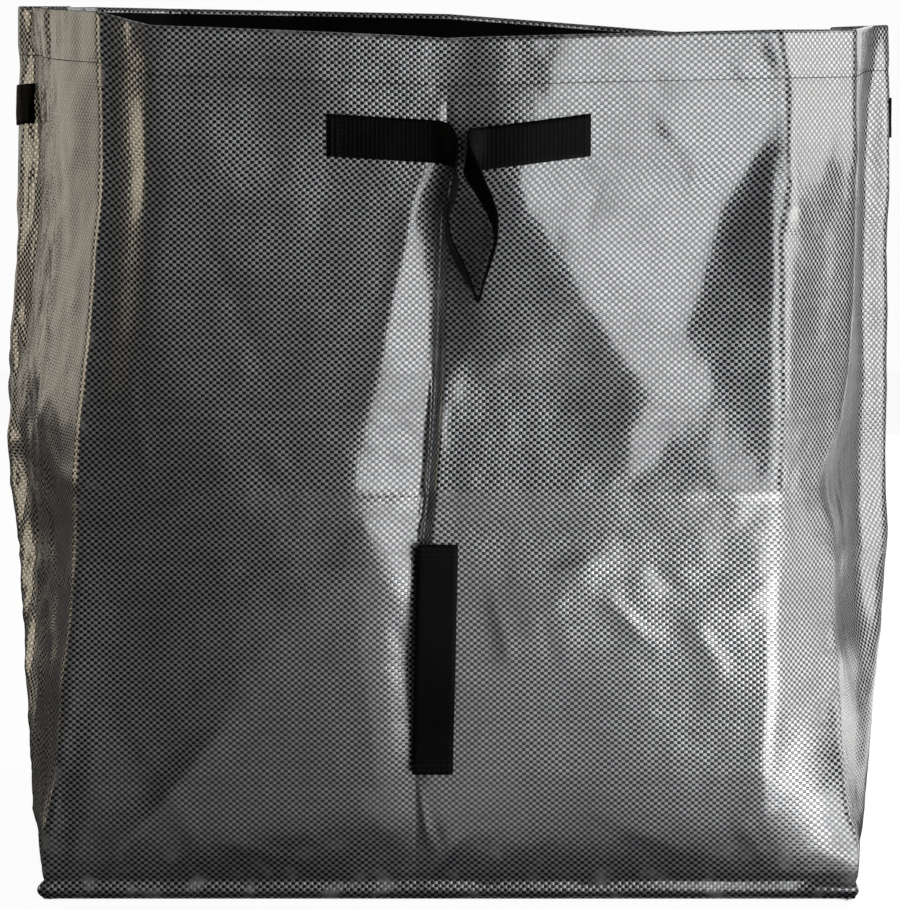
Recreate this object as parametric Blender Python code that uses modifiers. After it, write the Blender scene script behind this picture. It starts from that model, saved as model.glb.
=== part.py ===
# Garden waste bag, standing open and empty.
# One tube of woven cloth with creases from flat packing, turned over at the rim and sewn at its
# foot into a square base panel, a webbing band inside the rim, four looped webbing handles and
# a tipping grip low on the front.
# Metres, +Z up, front towards -Y, origin on the floor under the middle of the base.

import math

import bmesh
import bpy
from mathutils import Matrix, Vector
from mathutils.bvhtree import BVHTree
from mathutils.geometry import delaunay_2d_cdt

MM = 0.001
COLLECTION = "garden_waste_bag"

# Cloth
BASE_WIDTH = 0.500
BASE_DEPTH = 0.500
WALL_HEIGHT = 0.540
CLOTH_THICKNESS = 0.0006
HEM_GAP = 0.0006
WELT_HEIGHT = 0.009
SEAT_GAP = 0.0003
FOLD_ROUNDING = 0.005
WEAVE_CELL = 0.0024

# Webbing band inside the rim
BAND_WIDTH = 0.026
BAND_THICKNESS = 0.0010
BAND_DROP = 0.003
BAND_GAP = 0.0005
HEM_DEPTH = BAND_DROP + BAND_WIDTH

# Handles: one strap each, both ends sewn flat, the middle hanging as an edge-on loop
STRAP_WIDTH = 0.026
STRAP_THICKNESS = 0.0012
HANDLE_DROP = 0.063
HANDLE_LEFT_END = 0.066
HANDLE_RIGHT_END = 0.065
HANDLE_END_RISE = 0.004

# Tipping grip
GRIP_LENGTH = 0.147
GRIP_FOOT = 0.083
GRIP_SEWN_END = 0.024
GRIP_BOW = 0.009

# Mesh steps
ROW_STEP = 0.026
DENSE_STEPS = 4
STRAP_STEP = 0.014

# Every list below gives a crease as stations of (height, place along the side, stand-out in mm).
# Height is a share of the wall's height. Place is a share of half the side, -1 at its left corner
# seen from outside the front, and stand-out is how far the cloth stands off the base square.

# Creases of the front panel, which part it into nearly flat facets
FRONT_NET = [
    # left edge, turned inwards at the top
    [(0.0, -1.0, 0), (0.027, -1.0, 0), (0.11, -0.99, 4), (0.26, -0.97, 9), (0.49, -0.93, 16),
     (0.70, -0.885, 15), (0.85, -0.856, 12), (1.06, -0.86, 12)],
    # gutter between the left edge and the panel, and the panel's own edge
    [(0.515, -0.836, 17), (0.70, -0.81, 12), (0.85, -0.795, 9), (1.06, -0.788, 12)],
    [(0.515, -0.836, 17), (0.60, -0.79, 21), (0.70, -0.75, 24), (0.85, -0.725, 25), (1.06, -0.725, 22)],
    # the same two edges below the middle, fading to the foot
    [(0.515, -0.836, 17), (0.40, -0.848, 14), (0.26, -0.848, 10), (0.11, -0.848, 5), (0.027, -0.848, 0)],
    [(0.487, -0.725, 25), (0.26, -0.725, 16), (0.115, -0.725, 8), (0.027, -0.725, 0)],
    # crease round the middle of the bag
    [(0.49, -0.93, 16), (0.515, -0.836, 17), (0.487, -0.725, 25), (0.487, -0.50, 30), (0.487, -0.239, 34.5),
     (0.487, -0.056, 35), (0.487, 0.068, 35), (0.487, 0.40, 34), (0.49, 0.82, 28)],
    # line of the centre valley, before it is pressed in
    [(1.06, -0.002, 20), (0.92, -0.003, 22), (0.863, -0.003, 23), (0.818, -0.020, 24), (0.612, -0.039, 30),
     (0.487, -0.056, 35), (0.43, -0.068, 32), (0.26, -0.0805, 20), (0.152, -0.0805, 12),
     (0.076, -0.0805, 5), (0.027, -0.0805, 0)],
    # outer line of the valley's left flank
    [(0.92, -0.003, 22), (0.784, -0.085, 26), (0.646, -0.155, 30.5), (0.487, -0.239, 34.5),
     (0.407, -0.215, 31.5), (0.247, -0.178, 19.5), (0.152, -0.15, 12), (0.076, -0.0805, 5)],
    # two edges of the wedge facet on the right, and the fold under its tip
    [(0.92, -0.003, 22), (0.858, 0.139, 30), (0.818, 0.175, 30.5), (0.70, 0.34, 30.5), (0.596, 0.48, 30)],
    [(0.905, 0.82, 3), (0.76, 0.70, 11), (0.60, 0.60, 23)],
    [(0.612, -0.039, 30), (0.612, 0.044, 28), (0.60, 0.25, 27), (0.596, 0.48, 30), (0.60, 0.60, 23),
     (0.60, 0.825, 24)],
    # shallow dents under the middle crease
    [(0.44, 0.09, 30), (0.435, 0.40, 31), (0.44, 0.70, 26)],
    [(0.38, 0.12, 28), (0.35, 0.25, 30), (0.36, 0.42, 26), (0.33, 0.58, 26), (0.36, 0.72, 21)],
    [(0.27, 0.10, 20), (0.255, 0.30, 18), (0.25, 0.60, 17), (0.26, 0.74, 15)],
    [(0.15, 0.20, 12), (0.15, 0.60, 10)],
    # long ridge from the middle crease to the left foot
    [(0.487, -0.239, 34.5), (0.361, -0.36, 28), (0.178, -0.604, 14), (0.115, -0.725, 8), (0.07, -0.83, 4)],
    # right edge
    [(1.06, 0.775, 8), (0.93, 0.836, 3), (0.85, 0.833, 9), (0.76, 0.83, 17), (0.67, 0.83, 21),
     (0.60, 0.825, 24), (0.49, 0.82, 28), (0.40, 0.815, 24), (0.26, 0.81, 15), (0.11, 0.80, 8),
     (0.027, 0.80, 0)],
    # rim and foot
    [(1.06, -0.86, 12), (1.06, -0.788, 12), (1.06, -0.725, 22), (1.06, -0.40, 22), (1.06, -0.002, 20),
     (1.06, 0.08, 20), (1.06, 0.40, 17), (1.06, 0.775, 8)],
    [(0.0, -1.0, 0), (0.0, 0.0, 0), (0.0, 1.0, 0)],
    [(0.027, -1.0, 0), (0.027, -0.848, 0), (0.027, -0.725, 0), (0.027, -0.0805, 0), (0.027, 0.80, 0),
     (0.027, 1.0, 0)],
]

# Depth of the centre valley in mm, and how far its two flanks reach from its line, by height
VALLEY_DEPTH = [(0.03, 0.0), (0.10, 3.0), (0.26, 6.0), (0.44, 9.0), (0.487, 10.5), (0.66, 7.0), (0.80, 4.0),
                (0.92, 0.8), (0.95, 0.0), (1.06, 0.0)]
VALLEY_LEFT = [(0.0, 8), (0.10, 14), (0.26, 26), (0.44, 42), (0.487, 47), (0.66, 31), (0.80, 17), (0.92, 4),
               (1.06, 3)]
VALLEY_RIGHT = [(0.0, 6), (0.10, 12), (0.26, 16), (0.44, 22), (0.487, 30), (0.66, 34), (0.80, 24), (0.92, 6),
                (1.06, 4)]

# Creases of the back panel, a plain panel with the same packing folds
BACK_NET = [
    [(0.0, -1.0, 0), (0.0, 0.0, 0), (0.0, 1.0, 0)],
    [(0.027, -1.0, 0), (0.027, -0.82, 0), (0.027, 0.0, 0), (0.027, 0.82, 0), (0.027, 1.0, 0)],
    [(0.027, -0.82, 0), (0.11, -0.82, 7), (0.26, -0.82, 15), (0.487, -0.82, 28), (0.85, -0.82, 15),
     (1.06, -0.80, 10)],
    [(0.027, 0.82, 0), (0.11, 0.82, 7), (0.26, 0.82, 15), (0.487, 0.82, 28), (0.85, 0.82, 15),
     (1.06, 0.80, 10)],
    [(0.027, 0.0, 0), (0.11, 0.0, 6), (0.26, 0.0, 14), (0.487, 0.0, 27), (0.85, 0.0, 19), (1.06, 0.0, 16)],
    [(0.11, -0.42, 8), (0.26, -0.42, 18), (0.487, -0.42, 34), (0.85, -0.42, 24), (1.06, -0.42, 19)],
    [(0.11, 0.42, 8), (0.26, 0.42, 18), (0.487, 0.42, 34), (0.85, 0.42, 24), (1.06, 0.42, 19)],
    [(0.487, -0.82, 28), (0.487, -0.42, 34), (0.487, 0.0, 27), (0.487, 0.42, 34), (0.487, 0.82, 28)],
    [(1.06, -0.80, 10), (1.06, -0.42, 19), (1.06, 0.0, 16), (1.06, 0.42, 19), (1.06, 0.80, 10)],
]

# Where the mesh columns of the panels run: (height, place)
LEFT_EDGE = [(0.0, -1.0), (0.11, -0.99), (0.26, -0.97), (0.49, -0.93), (0.70, -0.885), (0.85, -0.856),
             (1.06, -0.86)]
LEFT_PANEL_EDGE = [(0.0, -0.725), (1.06, -0.725)]
CENTRE_VALLEY = [(0.0, -0.0805), (0.26, -0.0805), (0.43, -0.068), (0.487, -0.056), (0.612, -0.039),
                 (0.818, -0.020), (0.863, -0.003), (1.06, -0.002)]
RIGHT_EDGE = [(0.0, 0.80), (0.11, 0.80), (0.26, 0.81), (0.49, 0.82), (0.67, 0.83), (0.93, 0.836),
              (1.06, 0.775)]

# Upright folds of the side walls: (height, place along the depth, stand-out in mm)
RIGHT_TURN = [(0.0, -1.0, 0), (0.027, -1.0, 0), (0.11, -0.98, -2), (0.26, -0.93, -4), (0.42, -0.93, -6),
              (0.487, -0.985, -17), (0.56, -0.90, -2), (0.70, -0.84, 6), (0.85, -0.82, 7), (1.06, -0.82, 5)]
RIGHT_FLARE = [(0.0, -0.94, 0), (0.027, -0.94, 0), (0.11, -0.86, 6), (0.26, -0.68, 14), (0.487, -0.47, 19),
               (0.85, -0.38, 22), (1.06, -0.34, 30)]
RIGHT_RIDGE = [(0.0, -0.80, 0), (0.027, -0.80, 0), (0.11, -0.72, 16), (0.26, -0.56, 31), (0.37, -0.43, 41),
               (0.487, -0.37, 41), (0.70, -0.31, 41), (0.85, -0.29, 42), (1.06, -0.24, 39)]
RIGHT_MIDDLE = [(0.0, 0.0, 0), (0.027, 0.0, 0), (0.11, 0.0, 12), (0.26, 0.0, 20), (0.487, 0.0, 22),
                (0.70, 0.0, 10), (0.85, 0.0, 5), (1.06, 0.0, 10)]
LEFT_TURN = [(0.0, -0.94, 0), (0.027, -0.94, 0), (0.11, -0.90, 4), (0.26, -0.80, 8), (0.487, -0.74, 10),
             (0.85, -0.72, 0), (1.06, -0.72, 0)]
LEFT_FLARE = [(0.0, -0.90, 0), (0.027, -0.90, 0), (0.11, -0.82, 8), (0.26, -0.62, 19), (0.487, -0.45, 29),
              (0.85, -0.38, 18), (1.06, -0.36, 22)]
LEFT_RIDGE = [(0.0, -0.80, 0), (0.027, -0.80, 0), (0.11, -0.72, 14), (0.26, -0.55, 28), (0.487, -0.38, 43),
              (0.70, -0.31, 38), (0.85, -0.29, 35), (1.06, -0.24, 33)]
LEFT_MIDDLE = [(0.0, 0.0, 0), (0.027, 0.0, 0), (0.11, 0.0, 11), (0.26, 0.0, 19), (0.487, 0.0, 19),
               (0.70, 0.0, 7), (0.85, 0.0, 2), (1.06, 0.0, 6)]
BACK_TURN = [(0.0, 1.0, 0), (0.027, 1.0, 0), (0.11, 0.98, -1), (0.26, 0.92, -1), (0.487, 0.86, 3),
             (0.85, 0.82, 6), (1.06, 0.82, 5)]

# Rise and sag of the rim in mm, at the same folds going round from the front left edge
RIM_RISE = [15, 7, -1, 4, 3, 3, 3, 3, 3, 3, -3, 4, 8, 10, 12, 14, 15, 15]

# Hanging loop of a handle, between its sewn ends. Each station is its middle (along the side,
# out from the cloth, up from the handle's line) in mm, then the direction of its width.
HANDLE_LOOP = [
    (-8, 1.0, 0, 0, 0, 1), (-3, 3.5, -0.5, 0.03, 0.17, 0.98), (1, 7.2, -2.5, 0.12, 0.45, 0.88),
    (3.8, 10.8, -6.5, 0.12, 0.72, 0.68), (5, 13.2, -12.5, 0.05, 0.90, 0.43), (5, 14.4, -19.5, -0.07, 0.97, 0.20),
    (4.2, 14.6, -27, -0.13, 0.99, 0.05), (2.6, 14.6, -35, -0.12, 0.99, 0), (0.6, 14.6, -43, -0.04, 1, 0),
    (0, 14.6, -50, 0.04, 1, 0), (0.8, 14.6, -58, 0.12, 0.99, 0), (4.3, 14.6, -67, 0.20, 0.98, 0),
    (9, 14.6, -77, 0.20, 0.98, 0), (14, 14.6, -87.5, 0.12, 0.99, 0), (16.6, 14.6, -93.4, 0.03, 1, 0),
    (18, 14.6, -95.2, 0, 1, 0), (19.4, 14.6, -93.4, 0, 1, 0), (20.9, 14.6, -87, 0, 1, 0),
    (24.5, 14.6, -75, 0.02, 1, 0), (28.3, 14.6, -62, 0.03, 1, 0), (28.6, 14.6, -52, 0.10, 0.99, 0),
    (26.5, 14.6, -42, 0.25, 0.97, 0), (22.5, 14.6, -33, 0.33, 0.94, 0.03), (18.5, 14.4, -25, 0.33, 0.93, 0.12),
    (15.2, 14, -18, 0.30, 0.90, 0.30), (12.6, 13, -12.4, 0.22, 0.85, 0.48), (11.6, 11.6, -8.6, 0.10, 0.77, 0.64),
    (12.2, 9.4, -6, 0, 0.60, 0.80), (14.2, 6.4, -4.8, -0.10, 0.36, 0.93), (17.6, 3.4, -4.2, -0.05, 0.13, 0.99),
    (22, 1.2, -4, 0, 0, 1),
]
HANDLES = [("front_handle", 0, 0.0), ("right_handle", 1, 0.002), ("back_handle", 2, 0.002),
           ("left_handle", 3, 0.012)]


def between(stations, height, column):
    """Value of one column of a station list at a height, on a smooth curve through the stations."""
    heights = [station[0] for station in stations]
    values = [station[column] for station in stations]
    if height <= heights[0]:
        return values[0]
    if height >= heights[-1]:
        return values[-1]
    slopes = []
    for i in range(len(values) - 1):
        slopes.append((values[i + 1] - values[i]) / (heights[i + 1] - heights[i]))
    tangents = [slopes[0]]
    for before, after in zip(slopes, slopes[1:]):
        same_way = before * after > 0
        tangents.append(2 * before * after / (before + after) if same_way else 0.0)
    tangents.append(slopes[-1])
    i = max(k for k in range(len(heights) - 1) if heights[k] <= height)
    span = heights[i + 1] - heights[i]
    f = (height - heights[i]) / span
    start = (2 * f ** 3 - 3 * f ** 2 + 1) * values[i] + (f ** 3 - 2 * f ** 2 + f) * span * tangents[i]
    end = (3 * f ** 2 - 2 * f ** 3) * values[i + 1] + (f ** 3 - f ** 2) * span * tangents[i + 1]
    return start + end


def facet_sheet(net):
    """Flat facets between crease lines, as a tree that a ray can be cast on."""
    places = []
    stand_outs = []
    lines = []
    for crease in net:
        run = []
        for height, share, out in crease:
            place = (round(share * BASE_WIDTH / 2, 6), round(height * WALL_HEIGHT, 6))
            if place not in places:
                places.append(place)
                stand_outs.append(out * MM)
            run.append(places.index(place))
        lines += list(zip(run, run[1:]))
    flat = [Vector(place) for place in places]
    points, _, faces, origins, _, _ = delaunay_2d_cdt(flat, lines, [], 0, 1e-6)
    raised = []
    for point, origin in zip(points, origins):
        raised.append(Vector((point.x, point.y, stand_outs[origin[0]])))
    return BVHTree.FromPolygons(raised, faces)


def stand_out(sheet, x, z):
    """How far a panel stands off the base square at a place, with its creases rounded."""
    r = FOLD_ROUNDING
    total = 0.0
    hits = 0
    for dx, dz in ((0, 0), (r, 0), (-r, 0), (0, r), (0, -r), (r, r), (-r, -r), (r, -r), (-r, r)):
        hit = sheet.ray_cast(Vector((x + dx, z + dz, 1.0)), Vector((0, 0, -1)))[0]
        if hit is not None:
            total += hit.z
            hits += 1
    return total / hits if hits else 0.0


def valley_depth(x, z):
    """How deep the centre valley of the front is pressed in at a place."""
    height = z / WALL_HEIGHT
    away = x - between(CENTRE_VALLEY, height, 1) * BASE_WIDTH / 2
    reach = between(VALLEY_LEFT if away < 0 else VALLEY_RIGHT, height, 1) * MM
    share = min(1.0, abs(away) / reach)
    return between(VALLEY_DEPTH, height, 1) * MM * (1 - share) ** 2


def panel_point(sheet, facing, share, z):
    """Plan position on the front (facing -1) or back (facing +1) panel."""
    x = share * BASE_WIDTH / 2
    out = stand_out(sheet, x, z)
    if facing < 0:
        out -= valley_depth(x, z)
    return Vector((x, facing * (BASE_DEPTH / 2 + out)))


def side_point(stations, facing, height, flip=1):
    """Plan position of an upright fold on the right (facing +1) or left (facing -1) wall."""
    along = flip * between(stations, height, 1) * BASE_DEPTH / 2
    out = BASE_WIDTH / 2 + between(stations, height, 2) * MM
    return Vector((facing * out, along))


def curve_span(a, b, before, after, steps):
    """Plan points from a to b, leaving and arriving along the given directions."""
    chord = (b - a).length
    points = []
    for i in range(steps):
        f = i / steps
        start = (2 * f ** 3 - 3 * f ** 2 + 1) * a + (f ** 3 - 2 * f ** 2 + f) * chord * before
        end = (3 * f ** 2 - 2 * f ** 3) * b + (f ** 3 - f ** 2) * chord * after
        points.append(start + end)
    return points


def side_wall(knots, sharp, counts):
    """Plan points along a side wall through its folds; sharp folds break the curve."""
    points = []
    for i, count in enumerate(counts):
        a, b = knots[i], knots[i + 1]
        chord = (b - a).normalized()
        before = chord if sharp[i] else (b - knots[i - 1]).normalized()
        after = chord if sharp[i + 1] else (knots[i + 2] - a).normalized()
        points += curve_span(a, b, before, after, count * DENSE_STEPS)
    return points


# Mesh columns in each stretch of the way round
PANEL_COUNTS = [3, 9, 14]
SIDE_COUNTS = [4, 4, 2, 3, 3, 4, 2]
BACK_COUNTS = [6, 6]


def section(height, front, back):
    """Closed plan outline of the wall at a height share: points and mitred outward directions."""
    z = height * WALL_HEIGHT
    ring = []
    edges = [LEFT_EDGE, LEFT_PANEL_EDGE, CENTRE_VALLEY, RIGHT_EDGE]
    for left, right, count in zip(edges, edges[1:], PANEL_COUNTS):
        start, end = between(left, height, 1), between(right, height, 1)
        for i in range(count * DENSE_STEPS):
            ring.append(panel_point(front, -1, start + (end - start) * i / (count * DENSE_STEPS), z))
    right_edge = panel_point(front, -1, between(RIGHT_EDGE, height, 1), z)
    back_right = panel_point(back, 1, 0.82, z)
    back_left = panel_point(back, 1, -0.82, z)
    left_edge = ring[0]
    right_knots = [right_edge, side_point(RIGHT_TURN, 1, height), side_point(RIGHT_FLARE, 1, height),
                   side_point(RIGHT_RIDGE, 1, height), side_point(RIGHT_MIDDLE, 1, height),
                   side_point(RIGHT_RIDGE, 1, height, -1), side_point(BACK_TURN, 1, height), back_right]
    ring += side_wall(right_knots, [1, 1, 0, 0, 1, 0, 1, 1], SIDE_COUNTS)
    for start, count in zip((0.82, 0.0), BACK_COUNTS):
        for i in range(count * DENSE_STEPS):
            ring.append(panel_point(back, 1, start - 0.82 * i / (count * DENSE_STEPS), z))
    left_knots = [back_left, side_point(BACK_TURN, -1, height), side_point(LEFT_RIDGE, -1, height, -1),
                  side_point(LEFT_MIDDLE, -1, height), side_point(LEFT_RIDGE, -1, height),
                  side_point(LEFT_FLARE, -1, height), side_point(LEFT_TURN, -1, height), left_edge]
    ring += side_wall(left_knots, [1, 1, 0, 1, 0, 0, 0, 1], SIDE_COUNTS[::-1])
    smooth = []
    for i, point in enumerate(ring):
        smooth.append((ring[i - 1] + 2 * point + ring[(i + 1) % len(ring)]) / 4)
    points = smooth[::DENSE_STEPS]
    outwards = []
    for i, point in enumerate(points):
        before = (point - points[i - 1]).normalized()
        after = (points[(i + 1) % len(points)] - point).normalized()
        middle = Vector((before.y + after.y, -before.x - after.x)).normalized()
        mitre = 1 / max(0.6, middle.dot(Vector((after.y, -after.x))))
        outwards.append(middle * mitre)
    return points, outwards


def rim_rise(column, columns):
    """Rise of the rim over the nominal height at a mesh column."""
    starts = [0]
    for count in PANEL_COUNTS + SIDE_COUNTS + BACK_COUNTS + SIDE_COUNTS[::-1]:
        starts.append(starts[-1] + count)
    i = max(k for k in range(len(starts) - 1) if starts[k] <= column)
    f = (column - starts[i]) / (starts[i + 1] - starts[i])
    rises = RIM_RISE + [RIM_RISE[0]] * (len(starts) - len(RIM_RISE))
    return (rises[i] + (rises[i + 1] - rises[i]) * f) * MM


def ring_at(height, inset, front, back):
    """Ring of points round the bag at a height share, set in from the wall's outer face."""
    points, outwards = section(height, front, back)
    ring = []
    for i, (point, outward) in enumerate(zip(points, outwards)):
        place = point - outward * inset
        lift = rim_rise(i, len(points)) * height ** 3
        ring.append(Vector((place.x, place.y, height * WALL_HEIGHT + lift)))
    return ring


def wall_rows():
    """Heights of the mesh rows, from the foot to the rim, as shares of the wall's height."""
    marks = [CLOTH_THICKNESS + SEAT_GAP, WELT_HEIGHT + 0.001, 0.487 * WALL_HEIGHT, WALL_HEIGHT - HEM_DEPTH,
             WALL_HEIGHT]
    rows = []
    for low, high in zip(marks, marks[1:]):
        steps = max(1, round((high - low) / ROW_STEP))
        for i in range(steps):
            rows.append((low + (high - low) * i / steps) / WALL_HEIGHT)
    rows.append(1.0)
    return rows


def main():
    for item in list(bpy.data.objects):
        bpy.data.objects.remove(item)
    parts = bpy.data.collections.new(COLLECTION)
    bpy.context.scene.collection.children.link(parts)

    front = facet_sheet(FRONT_NET)
    back = facet_sheet(BACK_NET)
    cloth = woven_cloth()
    webbing = finish("black_webbing", (0.012, 0.012, 0.013), 0.75)

    wall = add_wall(parts, front, back, cloth)
    add_base(parts, front, back, cloth)
    add_rim_band(parts, front, back, webbing)

    surface = outer_surface(wall)
    for name, quarter, rise in HANDLES:
        add_handle(parts, name, quarter, rise, surface, webbing)
    add_grip(parts, surface, webbing)
    centre_on_origin(parts)


def finish(name, colour, roughness):
    """Plain material of one colour."""
    material = bpy.data.materials.new(name)
    material.use_nodes = True
    shader = material.node_tree.nodes["Principled BSDF"]
    shader.inputs["Base Color"].default_value = (*colour, 1.0)
    shader.inputs["Roughness"].default_value = roughness
    shader.inputs["Metallic"].default_value = 0.0
    return material


def woven_cloth():
    """Light grey and black flat tapes in a plain weave, laid out on the cloth's own map."""
    material = finish("woven_cloth", (0.45, 0.45, 0.46), 0.38)
    nodes = material.node_tree.nodes
    links = material.node_tree.links
    cloth_map = nodes.new("ShaderNodeUVMap")
    checker = nodes.new("ShaderNodeTexChecker")
    checker.inputs["Color1"].default_value = (0.50, 0.50, 0.51, 1.0)
    checker.inputs["Color2"].default_value = (0.012, 0.012, 0.013, 1.0)
    checker.inputs["Scale"].default_value = 1.0 / WEAVE_CELL
    links.new(cloth_map.outputs["UV"], checker.inputs["Vector"])
    links.new(checker.outputs["Color"], nodes["Principled BSDF"].inputs["Base Color"])
    return material


def add_object(parts, name, shape, material):
    """New object from a bmesh, smooth where it bends gently."""
    mesh = bpy.data.meshes.new(name)
    shape.to_mesh(mesh)
    shape.free()
    mesh.materials.append(material)
    mesh.shade_smooth()
    mesh.set_sharp_from_angle(angle=math.radians(40))
    item = bpy.data.objects.new(name, mesh)
    parts.objects.link(item)
    return item


def thicken(item, thickness, offset, even=True):
    """Wall thickness; offset -1 keeps the modelled face outermost, 0 keeps it in the middle."""
    solid = item.modifiers.new("thickness", "SOLIDIFY")
    solid.thickness = thickness
    solid.offset = offset
    solid.use_even_offset = even
    solid.use_rim = True


def tube(rings, middles=None):
    """Bmesh tube through closed rings, each quad parted along the diagonal nearer to its middle."""
    shape = bmesh.new()
    loops = [[shape.verts.new(point) for point in ring] for ring in rings]
    columns = len(rings[0])
    for k, (low, high) in enumerate(zip(loops, loops[1:])):
        for i in range(columns):
            j = (i + 1) % columns
            rising = low[i].co.z < high[i].co.z
            if middles and k < len(middles):
                middle = (middles[k][i] + middles[k][j]) / 2
                up_error = ((low[i].co + high[j].co) / 2 - middle).length
                down_error = ((low[j].co + high[i].co) / 2 - middle).length
                rising = up_error <= down_error
            if rising:
                shape.faces.new((low[i], low[j], high[j]))
                shape.faces.new((low[i], high[j], high[i]))
            else:
                shape.faces.new((low[i], low[j], high[i]))
                shape.faces.new((low[j], high[j], high[i]))
    return shape


def lay_out_cloth(shape, rings):
    """Map of the cloth in metres: arc length round the bag and length up the wall."""
    cloth_map = shape.loops.layers.uv.new("cloth")
    shape.verts.index_update()
    columns = len(rings[0])
    round_bag = [0.0]
    for i in range(columns):
        round_bag.append(round_bag[-1] + (rings[0][(i + 1) % columns] - rings[0][i]).length)
    up_wall = [0.0]
    for low, high in zip(rings, rings[1:]):
        up_wall.append(up_wall[-1] + (high[0] - low[0]).length)
    for face in shape.faces:
        numbers = [loop.vert.index % columns for loop in face.loops]
        for loop, number in zip(face.loops, numbers):
            wraps = number == 0 and max(numbers) == columns - 1
            u = round_bag[columns] if wraps else round_bag[number]
            loop[cloth_map].uv = (u, up_wall[loop.vert.index // columns])


def add_wall(parts, front, back, material):
    """The bag's wall: one tube of cloth, turned over inwards at the rim."""
    turned = 2 * CLOTH_THICKNESS + HEM_GAP
    rows = wall_rows()
    rings = [ring_at(height, 0.0, front, back) for height in rows]
    middles = [ring_at((low + high) / 2, 0.0, front, back) for low, high in zip(rows, rows[1:-1])]
    crown = ring_at(1.0, turned / 2, front, back)
    for point in crown:
        point.z += turned / 3
    rings.append(crown)
    for depth in (0.0, BAND_DROP, HEM_DEPTH):
        rings.append(ring_at(1.0 - depth / WALL_HEIGHT, turned, front, back))
    shape = tube(rings, middles)
    lay_out_cloth(shape, rings)
    wall = add_object(parts, "bag_wall", shape, material)
    thicken(wall, CLOTH_THICKNESS, -1)
    return wall


def add_base(parts, front, back, material):
    """Square base panel, turned up round the wall's foot as a sewn welt."""
    foot = ring_at(0.0, -SEAT_GAP - CLOTH_THICKNESS, front, back)
    shape = bmesh.new()
    outline = [shape.verts.new(point) for point in foot]
    raised = [shape.verts.new(point + Vector((0, 0, WELT_HEIGHT))) for point in foot]
    shape.faces.new(outline[::-1])
    for i, corner in enumerate(outline):
        j = (i + 1) % len(outline)
        shape.faces.new((corner, outline[j], raised[j], raised[i]))
    base = add_object(parts, "base_panel", shape, material)
    thicken(base, CLOTH_THICKNESS, -1)


def add_rim_band(parts, front, back, material):
    """Webbing band sewn inside the hem."""
    inset = 2 * CLOTH_THICKNESS + HEM_GAP + BAND_GAP
    rings = [ring_at(1.0 - depth / WALL_HEIGHT, inset, front, back) for depth in (HEM_DEPTH, BAND_DROP)]
    band = add_object(parts, "rim_band", tube(rings), material)
    thicken(band, BAND_THICKNESS, -1)


def finished_shape(item):
    """Bmesh of an object with its thickness."""
    depsgraph = bpy.context.evaluated_depsgraph_get()
    mesh = bpy.data.meshes.new_from_object(item.evaluated_get(depsgraph))
    shape = bmesh.new()
    shape.from_mesh(mesh)
    bpy.data.meshes.remove(mesh)
    return shape


def outer_surface(wall):
    """Tree of the finished wall, for laying straps on it."""
    shape = finished_shape(wall)
    tree = BVHTree.FromBMesh(shape)
    shape.free()
    return tree


def centre_on_origin(parts):
    """Move everything sideways so that the bag's overall footprint is centred on the origin."""
    spots = []
    for item in parts.objects:
        shape = finished_shape(item)
        spots += [vert.co.copy() for vert in shape.verts]
        shape.free()
    shift = Vector((0, 0, 0))
    for axis in (0, 1):
        values = [spot[axis] for spot in spots]
        shift[axis] = -(min(values) + max(values)) / 2
    for item in parts.objects:
        item.data.transform(Matrix.Translation(shift))


def side_frame(quarter):
    """Directions along and out of a side, seen from outside it; quarter 0 is the front."""
    angle = quarter * math.pi / 2
    along = Vector((math.cos(angle), math.sin(angle), 0))
    out = Vector((math.sin(angle), -math.cos(angle), 0))
    return along, out


def wall_reach(surface, quarter, along_at, z, half_along, half_up):
    """Furthest that the wall reaches outwards under a patch of strap."""
    along, out = side_frame(quarter)
    reach = 0.0
    for i in range(-6, 7):
        for j in range(-9, 10):
            spot = along * (along_at + half_along * i / 6) + Vector((0, 0, z + half_up * j / 9))
            hit = surface.ray_cast(spot + out, -out)[0]
            if hit is not None:
                reach = max(reach, hit.dot(out))
    return reach


def ribbon(parts, name, stations, width, thickness, material):
    """Flat strap through stations of (centre, direction of its width)."""
    shape = bmesh.new()
    rows = []
    for centre, across in stations:
        rows.append([shape.verts.new(centre + across * width * f) for f in (-0.5, 0.5)])
    for low, high in zip(rows, rows[1:]):
        shape.faces.new((low[0], high[0], high[1]))
        shape.faces.new((low[0], high[1], low[1]))
    strap = add_object(parts, name, shape, material)
    thicken(strap, thickness, 0, even=False)
    return strap


def add_handle(parts, name, quarter, rise, surface, material):
    """Strap sewn flat at both ends, with its middle hanging edge-on as a loop."""
    along, out = side_frame(quarter)
    up = Vector((0, 0, 1))
    line = WALL_HEIGHT - HANDLE_DROP + rise
    lie = SEAT_GAP + STRAP_THICKNESS / 2
    half = STRAP_WIDTH / 2
    ends = []
    for start, length, drop in ((HANDLE_LOOP[0], -HANDLE_LEFT_END, 0), (HANDLE_LOOP[-1], HANDLE_RIGHT_END, 0)):
        steps = round(HANDLE_LEFT_END / STRAP_STEP)
        stations = []
        for i in range(1, steps + 1):
            at = start[0] * MM + length * i / steps
            z = line + start[2] * MM + HANDLE_END_RISE * i / steps * (1 - start[2] / 4)
            reach = wall_reach(surface, quarter, at, z, STRAP_STEP, half)
            stations.append((along * at + out * (reach + lie) + up * z, up))
        ends.append(stations)
    loop = []
    for a, o, u, across_along, across_out, across_up in HANDLE_LOOP:
        across = (along * across_along + out * across_out + up * across_up).normalized()
        z = line + u * MM
        reach = wall_reach(surface, quarter, a * MM, z, 0.004, half * abs(across.z) + 0.003)
        loop.append((along * a * MM + out * (reach + o * MM) + up * z, across))
    ribbon(parts, name, ends[0][::-1] + loop + ends[1], STRAP_WIDTH, STRAP_THICKNESS, material)


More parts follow.
